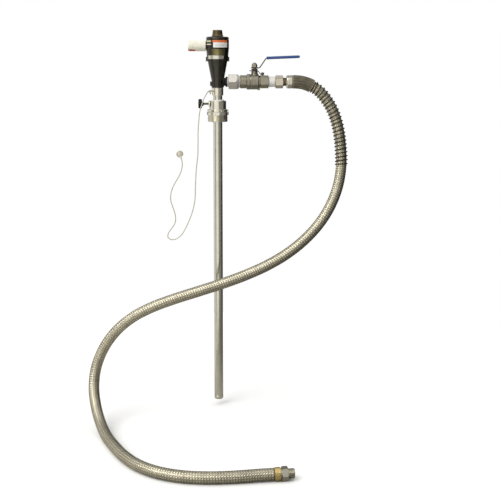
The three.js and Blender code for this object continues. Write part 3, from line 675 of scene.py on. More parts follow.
WIRE_ROUTE = [
    (-25.9, -15.2, 69.9), (-28.3, -24, 68.7), (-32.5, -36, 62.8), (-38.5, -46.5, 51.5),
    (-44.5, -50, 34.5), (-51.5, -48.5, 12), (-54.5, -47.5, -14), (-57, -46, -48), (-57.5, -44, -82),
    (-58.5, -42, -118), (-62.5, -41, -150), (-65, -40, -184), (-66.5, -39.5, -218), (-68, -39, -250),
    (-73.5, -38.5, -278), (-84, -38, -309), (-98, -38, -339), (-111, -38, -359), (-126, -38, -369.5),
    (-141, -38, -371), (-150, -38, -363), (-147, -38, -349), (-136, -38, -334), (-127.5, -38, -318),
    (-127, -38.5, -298), (-133, -39, -276), (-139.5, -39.5, -255), (-140, -40, -236),
    (-134, -40.5, -214), (-124, -41, -195), (-114, -41.5, -178), (-107, -42, -160), (-104.5, -42, -144),
    (-106, -42, -131.5),
]
WIRE_D = 0.003
WIRE_SIDES = 14
MAGNET = (-112, -42, -114)

SLEEVE_LENGTH = 61.0
GUARD_END = 326.0
COIL_INSIDE = 16.15
BRAID_RIBBONS = 14  # in each direction
BRAID_LOW, BRAID_HIGH = 15.0, 15.9


def braided_hose(route):
    """The hose's cover as one closed skin: two families of ribbons, over and under each other in turn."""
    cell = math.pi * HOSE_D / MM / BRAID_RIBBONS
    line = smooth_line(route, cell / 6)
    rows, wide = len(line), 3 * BRAID_RIBBONS
    p = np.arange(rows)[:, None]
    q = 2 * np.arange(wide)[None] + p % 2
    u, v = (p + q) // 2, (p - q) // 2
    radii = np.where((u % 3 != 0) & (v % 3 != 0), BRAID_HIGH, BRAID_LOW)
    points = around(line, radii, np.pi * q / wide)
    index = np.arange(rows * wide).reshape(rows, wide).tolist()
    ribbons = {}
    for row in range(rows - 2):
        for k in range(wide):
            right = (k + row % 2) % wide
            beside = index[row + 1]
            face = (index[row][k], beside[right], index[row + 2][k], beside[right - 1])
            a, b = u[row, k], v[row, k]
            square = [((a % 3 + i) / 3, (b % 3 + j) / 3) for i, j in ((0, 0), (1, 0), (1, 1), (0, 1))]
            if (a // 3 + b // 3) % 2:
                square = [(y + 2, x) for x, y in square]
            ribbons[face] = dict(zip(face, square))
    obj = fresh("hose_braid", points.reshape(-1, 3), list(ribbons))
    layer = obj.data.uv_layers.new(name="ribbon")
    by_corners = {tuple(sorted(face)): corners for face, corners in ribbons.items()}
    for polygon in obj.data.polygons:
        corners = by_corners[tuple(sorted(polygon.vertices))]
        for loop, vertex in zip(polygon.loop_indices, polygon.vertices):
            layer.data[loop].uv = corners[vertex]
    bm = bmesh.new()
    bm.from_mesh(obj.data)
    bmesh.ops.holes_fill(bm, edges=[e for e in bm.edges if e.is_boundary], sides=0)
    bmesh.ops.recalc_face_normals(bm, faces=bm.faces[:])
    for face in bm.faces:
        face.smooth = True
    bm.to_mesh(obj.data)
    bm.free()
    return obj, line


hose, hose_line = braided_hose(HOSE_ROUTE)
hose.data.materials.append(BRAID)
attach(hose, "pump")
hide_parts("hose")

wire_line = smooth_line(WIRE_ROUTE, 1.5)
wire_points = around(wire_line, np.full((1, WIRE_SIDES), WIRE_D / 2 / MM),
                     2 * np.pi * np.arange(WIRE_SIDES) / WIRE_SIDES)
wire_piece = finish(loft("earth_wire", wire_points, WIRE_SIDES), WIRE, "ground_wire")


def stretch_of(line, low, high, step):
    """The part of a line between two distances along it."""
    along = np.r_[0, np.cumsum(np.linalg.norm(np.diff(line, axis=0), axis=1))]
    at = np.linspace(low, high, max(2, int(round((high - low) / step)) + 1))
    return np.stack([np.interp(at, along, line[:, k]) for k in range(3)], 1)


def guard_sleeve():
    """A ribbed rubber sleeve over the start of the hose, open at its far end."""
    ribs, sides = 13, 156
    line = stretch_of(hose_line, 0.2, SLEEVE_LENGTH, 2.0)
    a = 2 * np.pi * np.arange(sides) / sides
    groove = 1.6 * np.clip(np.abs(np.sin(a * ribs / 2)) * 1.7, 0, 1) ** 1.5
    i = np.arange(len(line))
    lips = 0.9 * np.clip(1 - i / 1.5, 0, 1) ** 2 + 0.7 * np.clip(1 - i[::-1] / 1.2, 0, 1) ** 2
    radii = np.vstack([18.35 + groove - lips[:, None], np.full((2, sides), 16.3)])
    return loft("guard_sleeve_ribbed", around(line, radii, a, np.r_[i, i[-1], 0]), sides, True)


def spring_coil():
    """The guard round the hose: a coil of wire standing on edge, closed up at its two ends."""
    turns, per_turn = 24, 40
    samples = turns * per_turn + 1
    t = np.linspace(0, 1, samples)
    ends = 0.035
    eased = np.interp(t, [0, ends, 1 - ends, 1], [0, ends * 0.45, 1 - ends * 0.45, 1])
    low, high = SLEEVE_LENGTH + 2.4, GUARD_END - 1.8
    centre = stretch_of(hose_line, low, high, (high - low) / 2000)
    along = eased * (len(centre) - 1)
    cells = np.clip(along.astype(int), 0, len(centre) - 2)
    share = (along - cells)[:, None]
    tangent, normal, beside = carried(centre)
    pick = lambda rows: rows[cells] * (1 - share) + rows[cells + 1] * share
    c, tan, nor, bes = pick(centre), pick(tangent), pick(normal), pick(beside)
    angle = (t * turns * 2 * np.pi)[:, None]
    out = nor * np.cos(angle) + bes * np.sin(angle)
    section = [(COIL_INSIDE, -1.9), (17.6, -1.6), (18.9, -1.1), (19.4, 0), (18.9, 1.1), (17.6, 1.6),
               (COIL_INSIDE, 1.9)]
    fade = np.clip(np.minimum(t, 1 - t) * turns * 8, 0.35, 1)[:, None]
    points = np.stack([
        c + out * (COIL_INSIDE + (r - COIL_INSIDE) * fade) + tan * w * fade for r, w in section
    ], 1)
    return loft("spring_guard_coil", points, len(section))


sleeve = finish(guard_sleeve(), SLEEVE, "guard_sleeve")
coil = finish(spring_coil(), SPRING, "spring_guard")

# The ferrules and the far fitting. The far ones are made along X and turned to the hose's end.
near_ferrule = finish(lathe("hose_ferrule_near", [
    (12.3, 203), (15.6, 203), (19.0, 206.6), (19.6, 208), (19.6, 212.6), (19.2, 213.2), (19.6, 213.8),
    (19.6, 220.4), (19.2, 221), (12.3, 221),
], "x", AT_OUTLET, 96), POLISHED_X, "hose_ferrule")


def hexagon(name, flats, low, high, bore, turn=0.0, chamfer=1.6, at=ORIGIN):
    """A hexagon along X with turned-off corners and a bore."""
    corner = flats / math.sqrt(3)
    body = headed(name, 6, flats, [
        (0, low), (flats / 2 - 0.4, low), (corner + 0.2, low + chamfer), (corner + 0.2, high - chamfer),
        (flats / 2 - 0.4, high), (0, high),
    ], "x", at, turn, round_sides=72)
    return carve(body, rod("bore", bore, low - 5, high + 5, "x", at, 72))


far_ferrule = lathe("hose_ferrule_far", [
    (9.4, 0.4), (16.2, 0.4), (17.5, 2), (17.5, 5.4), (16.9, 6.2), (17.5, 7.0), (17.5, 11), (16.9, 11.8),
    (17.5, 12.6), (17.4, 15), (16.2, 16), (9.4, 16),
], "x", sides=88)
finish(spun(far_ferrule, HOSE_END_TURN, HOSE_END), BRASS, "end_ferrule")
far_hex = hexagon("hose_end_fitting", 33.5, 18.4, 35, 9.2, math.pi / 6)
far_thread = thread("end_thread", 13.2, 1.1, 1.814, 36.6, 51.4, 9, "x")
far_neck = lathe("end_neck", [
    (9, 16.4), (13.6, 16.4), (13.6, 19), (12.4, 20), (12.4, 35), (11.9, 36.7), (9, 36.7),
], "x")
far_rim = lathe("end_rim", [(9, 51.2), (12.1, 51.2), (11.4, 52.3), (9.4, 52.3)], "x", radius=0.2)
far_fitting = finish(spun(merge(far_hex, far_neck, far_thread, far_rim), HOSE_END_TURN, HOSE_END),
                     STEEL_FAR, "end_fitting", bevel=0.25)


def ring_terminal(name, start, end, low):
    """A crimped ring terminal: eye round Z, barrel along X, with its crimp pressed in."""
    eye = lathe("eye", [(2.45, low), (4.6, low), (4.6, low + 1.2), (2.45, low + 1.2)], sides=40, radius=0.2)
    neck = box("neck", (3.4, -1.6, low), (start + 1.5, 1.6, low + 1.2))
    mid = low + 0.6
    barrel = lathe(name, [
        (0, start), (2.1, start), (2.1, start + 1.8), (1.75, start + 2.4), (1.75, end - 2.4),
        (2.1, end - 1.8), (2.3, end), (0, end),
    ], "x", (0, 0, mid), 32, 0.2)
    return merge(barrel, eye, neck)


upper_terminal = spun(ring_terminal("earth_terminal_collar", 7, 15.3, 69.3), [("z", 255)], AT_LUG)
finish(upper_terminal, STEEL_X, "collar_terminal", bevel=0.15)
lower_terminal = ring_terminal("earth_terminal_magnet", 10.8, 17.8, -0.6)
spun(lower_terminal, [("x", -90), ("y", 71)], MAGNET)
finish(lower_terminal, STEEL_X, "magnet_terminal", bevel=0.15)
magnet = merge(
    lathe("earth_magnet", [
        (0, 0.9), (7.2, 0.9), (7.6, 1.6), (8.4, 1.6), (8.8, 0.9), (10, 0.9), (10, 9.9), (0, 9.9),
    ], "y", MAGNET, 64, 0.5),
    lathe("stud", [(0, -2.3), (1.5, -2.3), (2, -1.8), (2, 1.2), (0, 1.2)], "y", MAGNET, 32, 0.2),
)
finish(magnet, CAST_PALE, "ground_magnet")


# ------------------------------ air motor


def bore_thread(radius, low, high, pitch):
    """The rings of an inside thread as (radius, height), from high to low."""
    rings = []
    z = high
    while z - pitch > low:
        rings += [(radius, z), (radius + 0.7, z - pitch / 2)]
        z -= pitch
    return rings


inlet = lathe("air_inlet", [
    (8.5, 226), (13.5, 226), (13.5, 231.3), (17.3, 231.3), (17.5, 231.8), (17.4, 232.9), (15.7, 235),
    (15.1, 239.2), (14.7, 239.8), (14.9, 240.4), (13.9, 248.4), (13.1, 249.5), (10.4, 249.5), (9.2, 248.4),
    *bore_thread(8.5, 230, 248, 1.34),
], radius=0.3)
finish(inlet, BRONZE, "air_inlet_fitting")

cap = lathe("motor_cap_domed", [
    (14, 225.3), (26.6, 225.3), (26.6, 221.5), (33.2, 221.5), (33.5, 221.9), (33.5, 225.2), (32.9, 227.6),
    (31.2, 229.3), (28, 229.9), (19.4, 230.3), (18.8, 229.9), (17.9, 229.9), (17.6, 230.7), (14, 230.7),
], radius=0.8)
finish(cap, BLACK, "motor_top_cap")

CASE_LOW, CASE_CONE_TOP, CASE_TOP = 161.4, 194.0, 221.0
CASE_RADIUS = 33.75


def case_radius(z):
    """Outside radius of the motor case, which widens up to its straight part."""
    return np.interp(z, [CASE_LOW, 164, CASE_CONE_TOP, CASE_TOP], [30.9, 31.0, CASE_RADIUS, CASE_RADIUS])


case = lathe("motor_case", [
    (8.2, CASE_LOW), (30.7, CASE_LOW), (31, 164), (32.05, 175.4), (31.8, 176), (33.4, 193.6),
    (CASE_RADIUS, 194.4), (CASE_RADIUS, 220.2), (33.1, CASE_TOP), (27.2, CASE_TOP), (27.2, 168), (8.2, 168),
], sides=96, radius=0.5)
port = lathe("port", [
    (0, -37), (10.7, -37), (11.5, -36.2), (11.5, -28.4), (0, -28.4),
], "x", AT_EXHAUST, 64)
fuse(case, port)
carve(case,
      rod("bore", 6.4, -40, -20, "x", AT_EXHAUST, 48),
      *[lathe("pocket", [(0, 158), (3.8, 158), (3.8, 172.4), (3.2, 173), (0, 173)], at=(side * EAR_X, 0, 0),
              sides=40, radius=0) for side in (-1, 1)])
finish(case, BLACK, "motor_housing")


def patch(name, low, high, start, end, thickness, radius_at, lift=0.02, notch=0.0):
    """A thin curved plate on a turned surface, between two angles in degrees, with cut corners."""
    across = np.radians(np.linspace(start, end, max(3, int((end - start) / 2.5))))
    step = max(notch, 0.4)
    rows = np.array([low, low + step, *np.linspace(low, high, 6)[1:-1], high - step, high])
    inset = np.zeros(len(rows))
    inset[[0, -1]] = notch
    layers = []
    for extra in (lift, lift + thickness):
        for z, cut in zip(rows, inset):
            r = radius_at(z) + extra
            pull = cut / r
            angles = np.clip(across, across[0] + pull, across[-1] - pull)
            layers.append(np.stack([r * np.cos(angles), r * np.sin(angles), np.full(len(angles), z)], 1))
    return skin(name, np.array(layers).reshape(2, len(rows), len(across), 3))


def straight(_z):
    return CASE_RADIUS


# painted reflection: a thin bronze-coloured sheet on the black case, where the glossy case shows a warm
# reflection
finish(patch("painted_reflection_band", 176.6, 193.2, 240, 309, 0.3, case_radius, notch=1.2), PAINTED_REFLECTION_BAND)
finish(patch("label_strip", 213, 219.6, 246, 327, 0.25, straight, notch=0.8), LABEL_ORANGE)
finish(patch("label_panel", 198.4, 212.8, 250, 328, 0.25, straight, notch=0.8), LABEL_WHITE)
finish(patch("label_window", 201, 208.5, 258, 306, 0.06, straight, 0.27), LABEL_PALE)
finish(patch("side_label_top", 214.2, 219, 200, 238, 0.25, straight, notch=0.6), LABEL_GREEN)
finish(patch("side_label_foot", 206, 209, 200, 238, 0.25, straight, notch=0.6), LABEL_PINK)
finish(patch("name_band", 164.8, 175.2, 214, 305, 0.45, case_radius, 0.05, 1.0), FOIL)
for angle in (218, 301):
    rivet = lathe("name_band_rivet", [(0, 31.7), (1.3, 31.7), (1.3, 32.3), (0.8, 32.8), (0, 32.9)], "x",
                  sides=24)
    spun(rivet, [("z", angle)], (0, 0, 170))
    rivet.name = f"name_band_rivet_{angle}"
    finish(rivet, STEEL_Z)


def small_shank(low, high, at):
    return thread("shank", 2, 0.28, 0.7, low, high, 0.6, at=at, sides=24, rows=6)


for side, name in ((-1, "flange_screw_left"), (1, "flange_screw_right")):
    at = (side * EAR_X, 0, 0)
    head = headed(f"{name}_hex", 6, 6.2, [(0, 162), (4, 162), (4, 170.4), (3, 171.4), (0, 171.4)],
                  at=at, low=163)
    washer = lathe("washer", [(2.2, 161.7), (3.5, 161.7), (3.5, 162.9), (2.2, 162.9)],
                   at=at, sides=40, radius=0.2)
    finish(merge(head, washer, small_shank(158.1, 163.2, at)), DARK_STEEL, name, bevel=0.2)

# The silencer's wall is ribbed with fine rings, as its porous tube is made.
rings = []
for k in range(21):
    x = -41.2 - 2 * k
    rings += [(15.4, x), (15.4, x - 1.3), (15.12, x - 1.5), (15.12, x - 1.8)]
silencer = lathe("silencer_tube", [
    (4, -44), (4, -27.7), (6, -27.7), (6, -37.5), (11.9, -37.5), (11.9, -34.5), (14.4, -34.5),
    (15.2, -35.6), *rings,
    (15, -82.5), (12, -82.5), (12, -44),
], "x", AT_EXHAUST, 72, 0.15)
finish(silencer, CREAM, "exhaust_silencer")
end_cap = lathe("silencer_cap", [
    (0, -86.3), (12.8, -86.3), (14.6, -85.9), (15.2, -85), (15.2, -83), (11.6, -83), (11.6, -78.2),
    (0, -78.2),
], "x", AT_EXHAUST, 72, 0.4)
end_cap.data.materials.append(CREAM_CAP)
end_cap.data.materials.append(RED)
for polygon in end_cap.data.polygons:
    low = polygon.center.z / MM - EXHAUST_Z < -8.5
    polygon.material_index = int(low and polygon.center.y < 0.004)
finish(end_cap, [CREAM_CAP, RED], "silencer_end_cap", slot="red_plastic")


def tube_mark(name, low, high, start, end, radius):
    """A thin printed strip round a part of the silencer."""
    made = patch(name, low, high, start, end, 0.12, lambda _z: radius, 0.03)
    return spun(made, [("y", 90)], AT_EXHAUST)


finish(tube_mark("silencer_mark", -82.4, -66, 312, 352, 15.4), RED)
finish(tube_mark("silencer_line", -65, -44, 338, 347, 15.4), LABEL_RED_PALE)

# ------------------------------ pump head

cone = lathe("head_cone", [
    (13.9, 81.1), (18.1, 81.1), (18.5, 81.5), (18.7, 84), (17.5, 98), (28.5, 156), (28.9, 157.9),
    (31.2, 157.9), (31.5, 158.3), (31.5, 160.7), (31.1, 161.1), (29.6, 161.1), (29.6, 161.32),
    (24.6, 161.32), (14, 100), (13.9, 89.5),
], sides=96, radius=0.5)
ears = []
for side in (-1, 1):
    arc = [(31.2 + 4 * math.cos(a), 4 * math.sin(a)) for a in np.linspace(-1.2, 1.2, 13)]
    outline = [(24.9, -6), (29, -5.6), *arc, (29, 5.6), (24.9, 6)]
    if side < 0:
        outline = [(-x, -y) for x, y in outline]
    ears.append(slab("ear", outline, 158.0, 161.0))
branch = lathe("branch", [
    (0, 15), (16.2, 15), (13.8, 18.6), (11.9, 20.6), (11.5, 21.8), (12.2, 23), (14.6, 24), (15.3, 24.8),
    (15.3, 28.7), (15, 29), (13.2, 29), (13.2, 45), (0, 45),
], "x", AT_OUTLET, 80, 0.3)
blind = lathe("blind", [
    (0, -12), (6.6, -12), (6.6, -21.9), (6.1, -22.4), (0, -22.4),
], "x", AT_BLIND_BOSS, 56, 0.2)
fuse(cone, *ears, branch, blind)
carve(cone,
      lathe("room", [(0, 80), (13.9, 80), (13.9, 89.5), (14, 100), (24.6, 161.1), (24.6, 166), (0, 166)],
            sides=96, radius=0),
      rod("bore", 9.5, 2, 50, "x", AT_OUTLET, 64),
      lathe("recess", [(0, -24), (4.2, -24), (3.4, -22), (3.4, -19), (0, -19)], "x", AT_BLIND_BOSS, 40, 0),
      *[rod("ear_hole", 2.4, 150, 170, at=(side * EAR_X, 0, 0), sides=32) for side in (-1, 1)])
seal_wall = lathe("seal_wall", [(9.3, 118), (18.0, 118), (18.6, 124), (9.3, 124)], sides=96, radius=0)
finish(merge(cone, seal_wall), BLACK, "pump_head_cone", bevel=0.25)

plug = prism("head_plug", 6, 5.2, -21.4, -19.05, "x", AT_BLIND_BOSS)
carve(plug, prism("socket", 6, 2.6, -22, -20.2, "x", AT_BLIND_BOSS))
finish(plug, DARK_STEEL, bevel=0.15)

collar = lathe("tube_collar_turned", [
    (14, 58.1), (16.2, 58.1), (16.75, 58.6), (16.75, 60.2), (16.2, 60.7), (16.2, 61.4), (16.75, 61.9),
    (16.75, 79.4), (16.2, 80.6), (14, 80.6),
], sides=96, radius=0.3)
lug_arc = [(AT_LUG[0] + 4.6 * math.cos(a), 4.6 * math.sin(a))
           for a in np.linspace(math.pi / 2, 1.5 * math.pi, 15)]
fuse(collar, slab("lug", [(-14.8, 4.6), *lug_arc, (-14.8, -4.6)], 66, 69))
carve(collar,
      rod("tube_space", 14, 50, 90, sides=96),
      rod("lug_hole", 2.3, 60, 75, at=AT_LUG, sides=32))
finish(collar, POLISHED_Z, "tube_collar", bevel=0.2)

screw = headed("collar_screw_hex", 6, 6.4, [(0, 70), (4, 70), (4, 73.3), (3.1, 74.2), (0, 74.2)],
               at=AT_LUG, low=70.8)
finish(merge(screw, small_shank(61.2, 70.9, AT_LUG)), STEEL_Z, "collar_screw", bevel=0.2)

# ------------------------------ suction tube

tube = lathe("tube_polished", [
    (12, -867.7), (13.3, -867.7), (13.6, -867.3), (13.6, -700), (13.6, -500), (13.6, -250), (13.6, 40),
    (13.6, 88.6), (13.3, 89), (12, 89),
], sides=96, radius=0.15)
finish(tube, STEEL_Z, "suction_tube")
foot = lathe("foot_ring", [
    (10, -880), (12, -880), (12.7, -879.4), (13.6, -877), (13.6, -872.4), (13.1, -871.9), (13.1, -871.1),
    (13.6, -870.6), (13.6, -868.4), (13.3, -868), (11.7, -868), (11.7, -863.6), (10.3, -863.6), (10, -864),
], sides=96, radius=0.3)
finish(foot, STEEL_Z, "suction_foot")

# ------------------------------ bung adapter

bush = lathe("bush_split", [
    (14, 3), (15.4, 3), (15.9, 3.6), (15.9, 42.4), (18.7, 42.4), (19, 42.8), (18.6, 44.4), (17.6, 45),
    (14.4, 45), (14, 44.6),
], sides=96, radius=0.3)
carve(bush, box("split", (-1, 10, 0), (1, 22, 50)))
finish(bush, WHITE, "adapter_bush", body="guide_bush")

adapter = lathe("adapter_body", [
    (16.2, -20), (19.2, -20), (19.5, -19.6), (19.5, -4), (26.1, -4), (26.1, -0.5), (28.6, -0.5), (28.6, 0),
    (32.1, 0), (32.5, 0.4), (32.5, 8.1), (32, 8.6), (27.6, 8.6), (27.2, 9), (27.2, 10.2), (29.2, 10.2),
    (29.5, 10.6), (29.5, 15.6), (29, 16.1), (25.6, 16.4), (25, 17), (25, 40.8), (24, 42), (17, 42),
    (16.2, 41.4),
], sides=96, radius=0.35)
boss = lathe("boss", [(0, -27.2), (7.8, -27.2), (8.4, -26.6), (8.4, -20), (0, -20)], "x", AT_CLAMP, 64, 0.2)
wings = []
for k in range(6):
    wing = slab("wing", [(24, -5), (30.9, -5), (31.6, -4.2), (31.6, 4.2), (30.9, 5), (24, 5)], 10.3, 15.9)
    wings.append(spun(wing, [("z", 60 * k)]))
fuse(adapter, boss, *wings)
notches = []
for k in range(6):
    notch = slab("notch", [(30.6, -5.4), (36, -7), (36, 7), (30.6, 5.4)], -1, 10)
    notches.append(spun(notch, [("z", 60 * k + 30)]))
carve(adapter,
      rod("screw_hole", 3.9, -30, -14, "x", AT_CLAMP, 40),
      rod("through", 16.2, -30, 60, sides=96),
      *notches)
bung_thread = thread("bung_thread", 29.8, 1.45, PIPE_PITCH, -20, -0.3, 26, sides=120)
finish(merge(adapter, bung_thread), ADAPTER, "bung_adapter", body="adapter", bevel=0.3)

clamp = thread("clamp_thread", 3.5, 0.55, 1.25, -50, -19.6, 0.8, "x", AT_CLAMP, 32)
clamp_tip = lathe("tip", [(0, -19.8), (2.8, -19.8), (2.4, -19.15), (0, -19.15)], "x", AT_CLAMP, 32, 0.15)
clamp_core = rod("core", 1.6, -49.8, -19.5, "x", AT_CLAMP, 32)
finish(merge(clamp, clamp_core, clamp_tip), CAST, "clamp_screw", body="clamp_screw")

STAR_SIDES = 72
star = []
for k in range(STAR_SIDES):
    a = 2 * math.pi * k / STAR_SIDES
    r = 11.9 + 2.1 * math.cos(4 * a)
    star.append((r * math.cos(a), r * math.sin(a)))
layers = [(-57.5, 0.86), (-57.2, 0.93), (-56.3, 0.985), (-55, 1), (-49.5, 1), (-48, 0.975),
          (-47.2, 0.92), (-47, 0.86)]
points = [(x * s, y * s, z) for z, s in layers for x, y in star]
knob = loft("knob_star", placed(points, "x", AT_CLAMP), len(star))
fuse(knob, lathe("hub", [(0, -48), (7.4, -48), (7, -43), (6.6, -42.5), (0, -42.5)], "x", AT_CLAMP, 56, 0.2))
carve(knob,
      rod("screw_space", 3.8, -50.4, -40, "x", AT_CLAMP, 40),
      lathe("dish", [(0, -58), (6.4, -58), (5.4, -56.9), (0, -56.9)], "x", AT_CLAMP, 56, 0))
finish(knob, KNOB, "clamp_knob", body="clamp_screw", bevel=0.3)

# ------------------------------ outlet and ball valve

seal_ring = lathe("seal_ring_white", [
    (13.5, 29.4), (14.6, 29.4), (15.2, 30), (15.2, 31.6), (14.6, 32.2), (13.5, 32.2),
], "x", AT_OUTLET, 72, 0.4)
finish(seal_ring, TAPE)

nut = headed("outlet_nut_hex", 6, 43, [
    (0, 32.5), (21.5, 32.5), (24.9, 34.6), (24.9, 55.4), (22.6, 57.2), (21.2, 57.4), (20.2, 62),
    (19.8, 62.7), (0, 62.7),
], "x", AT_OUTLET, math.pi / 6, round_sides=96)
carve(nut,
      rod("thread_space", 13.6, 30, 50.6, "x", AT_OUTLET, 72),
      rod("neck_space", 10.4, 40, 66, "x", AT_OUTLET, 72))
finish(nut, BLASTED, "union_nut", body="outlet_nut", bevel=0.7, segments=3)


def tape(name, low, high, radius):
    """Thread tape wound over a male thread: soft turns with a ragged edge."""
    rows, sides = 25, 96
    x = np.linspace(low, high, rows)[:, None]
    a = (2 * np.pi * np.arange(sides) / sides)[None, :]
    turns = 0.55 * np.sin(2 * np.pi * (x - low) / PIPE_PITCH - a)
    turns = turns + 0.09 * np.sin(3 * a + 1.7 * x) * np.sin(5 * a - x)
    inside = radius - 1.6
    radii = radius + turns - 0.5 * np.exp(-(x - low) / 0.35) - 0.5 * np.exp(-(high - x) / 0.35)
    return tubular(name, radii, x[:, 0], inside, "x", AT_OUTLET)


finish(tape("tape_tailpiece", 63.2, 66.1, 17.4), TAPE)
finish(tape("tape_nipple", 151.0, 170.2, 15.3), TAPE)

body = lathe("valve_body_cast", [
    (16.8, 66.4), (18.4, 66.4), (19.4, 67.2), (19.4, 84.6), (20.4, 86.2), (22.9, 87.4), (22.9, 95.6),
    (22.3, 96.6), (21.9, 97.3), (22.2, 98.2), (22.6, 99), (22.6, 120.2), (22, 121.4), (18.6, 122.4),
    (18.4, 126.3), (17, 126.3), (17, 94.7), (9.7, 94.7), (9.7, 84), (16.8, 84),
], "x", AT_OUTLET, 96, 0.6)
neck = lathe("neck", [
    (0, 112), (12.4, 112), (11.6, 119.4), (9.9, 121.4), (9.6, 123), (9.6, 128.4), (9, 129), (0, 129),
], at=AT_STEM, sides=72, radius=0.5)
toe = slab("toe", [(118, -5), (126.3, -5), (126.3, 5), (118, 5)], 73.2, 80)
fuse(body, neck, toe)
carve(body,
      rod("room", 17, 94.7, 130, "x", AT_OUTLET, 80),
      lathe("stem_bore", [(0, 98), (5, 98), (5, 122), (7.4, 122), (7.4, 135), (0, 135)], at=AT_STEM,
            sides=56, radius=0))
finish(body, CAST, "valve_body", bevel=0.6, segments=3)

end = headed("valve_cap_octagon", 8, 38, [
    (0, 126.8), (18.8, 126.8), (20.9, 128.4), (20.9, 148.6), (19.4, 150.7), (0, 150.7),
], "x", AT_OUTLET, round_sides=96)
groove = lathe("groove", [(18.4, 144.4), (24, 143.8), (24, 146.6), (18.4, 146)], "x", AT_OUTLET, 96, 0)
spigot = lathe("spigot", [(9.7, 124), (16.7, 124), (16.7, 128), (9.7, 128)], "x", AT_OUTLET, 72, 0)
carve(end, groove)
fuse(end, spigot)
carve(end,
      lathe("end_bore", [
          (0, 120), (9.7, 120), (9.7, 137), (15.1, 137), (15.1, 160), (0, 160),
      ], "x", AT_OUTLET, 72, 0),
      rod("bolt_hole", 2.7, 109, 130, at=AT_STOP_BOLT, sides=32))
finish(end, CAST, "valve_end_cap", bevel=0.5, segments=3)

gland = headed("gland_nut_hex", 6, 16, [
    (0, 132.2), (8.2, 132.2), (9.2, 133), (9.2, 135.8), (8.2, 136.6), (0, 136.6),
], at=AT_STEM, round_sides=64)
fuse(gland, lathe("gland", [(0, 125.4), (6.8, 125.4), (7.1, 125.8), (7.1, 132.6), (0, 132.6)],
                  at=AT_STEM, sides=56, radius=0))
carve(gland, rod("bore", 5, 120, 140, at=AT_STEM, sides=48))
finish(gland, DARK_STEEL, "gland_nut", bevel=0.25)


def bent_strip(name, path, thickness, width_at, corner=2.5):
    """Sheet bent along a path of [x, z] points for its underside, as wide as width_at says."""
    points = [np.array(p, float) for p in path]
    line = [points[0]]
    for before, here, after in zip(points, points[1:], points[2:]):
        a, b = before - here, after - here
        a, b = a / np.linalg.norm(a), b / np.linalg.norm(b)
        start, end = here + a * corner, here + b * corner
        for t in np.linspace(0, 1, 7):
            line.append((1 - t) ** 2 * start + 2 * t * (1 - t) * here + t * t * end)
    line.append(points[-1])
    fine = []
    for a, b in zip(line, line[1:]):
        steps = max(1, int(np.linalg.norm(b - a) / 2.5))
        fine += [a + (b - a) * k / steps for k in range(steps)]
    fine = np.array([*fine, line[-1]])
    along = np.gradient(fine, axis=0)
    along /= np.linalg.norm(along, axis=1)[:, None]
    up = np.stack([-along[:, 1], along[:, 0]], 1)
    wide = 9
    across = np.linspace(-1, 1, wide)
    made = []
    for offset in (0.0, thickness):
        for p, n in zip(fine, up):
            x, z = p + n * offset
            made.append(np.stack([np.full(wide, x), across * width_at(p[0]), np.full(wide, z)], 1))
    return skin(name, np.array(made).reshape(2, len(fine), wide, 3))


plate = bent_strip("stop_plate_bent", [(93.6, 129.3), (118.9, 129.3), (127.6, 118.1), (137.8, 118.1)], 2.3,
                   lambda x: np.interp(x, [93.6, 94.4, 100, 117, 123, 137, 137.8],
                                       [3.2, 4.4, 9, 9, 5, 5, 4.2]), 1.5)
carve(plate,
      rod("gland_hole", 7.4, 110, 140, at=AT_STEM, sides=56),
      rod("bolt_hole", 2.7, 110, 140, at=AT_STOP_BOLT, sides=32))
finish(plate, DARK_STEEL, "stop_bracket", bevel=0.25)

bolt = headed("stop_bolt_hex", 6, 8, [(0, 120.9), (4.7, 120.9), (4.7, 124.6), (3.7, 125.5), (0, 125.5)],
              at=AT_STOP_BOLT)
bolt_shank = thread("shank", 2.4, 0.35, 0.8, 110.6, 121, 0.6, at=AT_STOP_BOLT, sides=24, rows=6)
finish(merge(bolt, bolt_shank), DARK_STEEL, "stop_bolt", bevel=0.3)

stem = thread("stem_threaded", 4.65, 0.5, 1.25, 137, 150.1, 1, at=AT_STEM, sides=40)
stem_rod = lathe("rod", [(0, 113), (4.6, 113), (4.6, 137.2), (0, 137.2)], at=AT_STEM, sides=48, radius=0.2)
stem_core = rod("core", 3, 137, 149.9, at=AT_STEM, sides=32)
tang = box("tang", (STEM_X - 1.5, -4.2, 109.7), (STEM_X + 1.5, 4.2, 113.6))
finish(merge(stem, stem_rod, stem_core, tang), STEEL_Z, "valve_stem", body="valve_handle")

LEVER_SLOPE = math.atan2(4, 95)
lever = bent_strip("lever_strip", [(98.8, 137.5), (125.2, 137.5), (144.8, 166.3), (238.5, 170.3)], 3.0,
                   lambda x: np.interp(x, [98.8, 100, 104, 108, 113, 120, 128, 136, 236, 238.5],
                                       [4.4, 7.2, 9.8, 10.6, 10.6, 8, 8, 9.2, 9.2, 7.6]), 3.5)
carve(lever, rod("stem_hole", 5, 130, 150, at=AT_STEM, sides=48))
finish(lever, DARK_STEEL, "valve_lever", body="valve_handle", bevel=0.35)


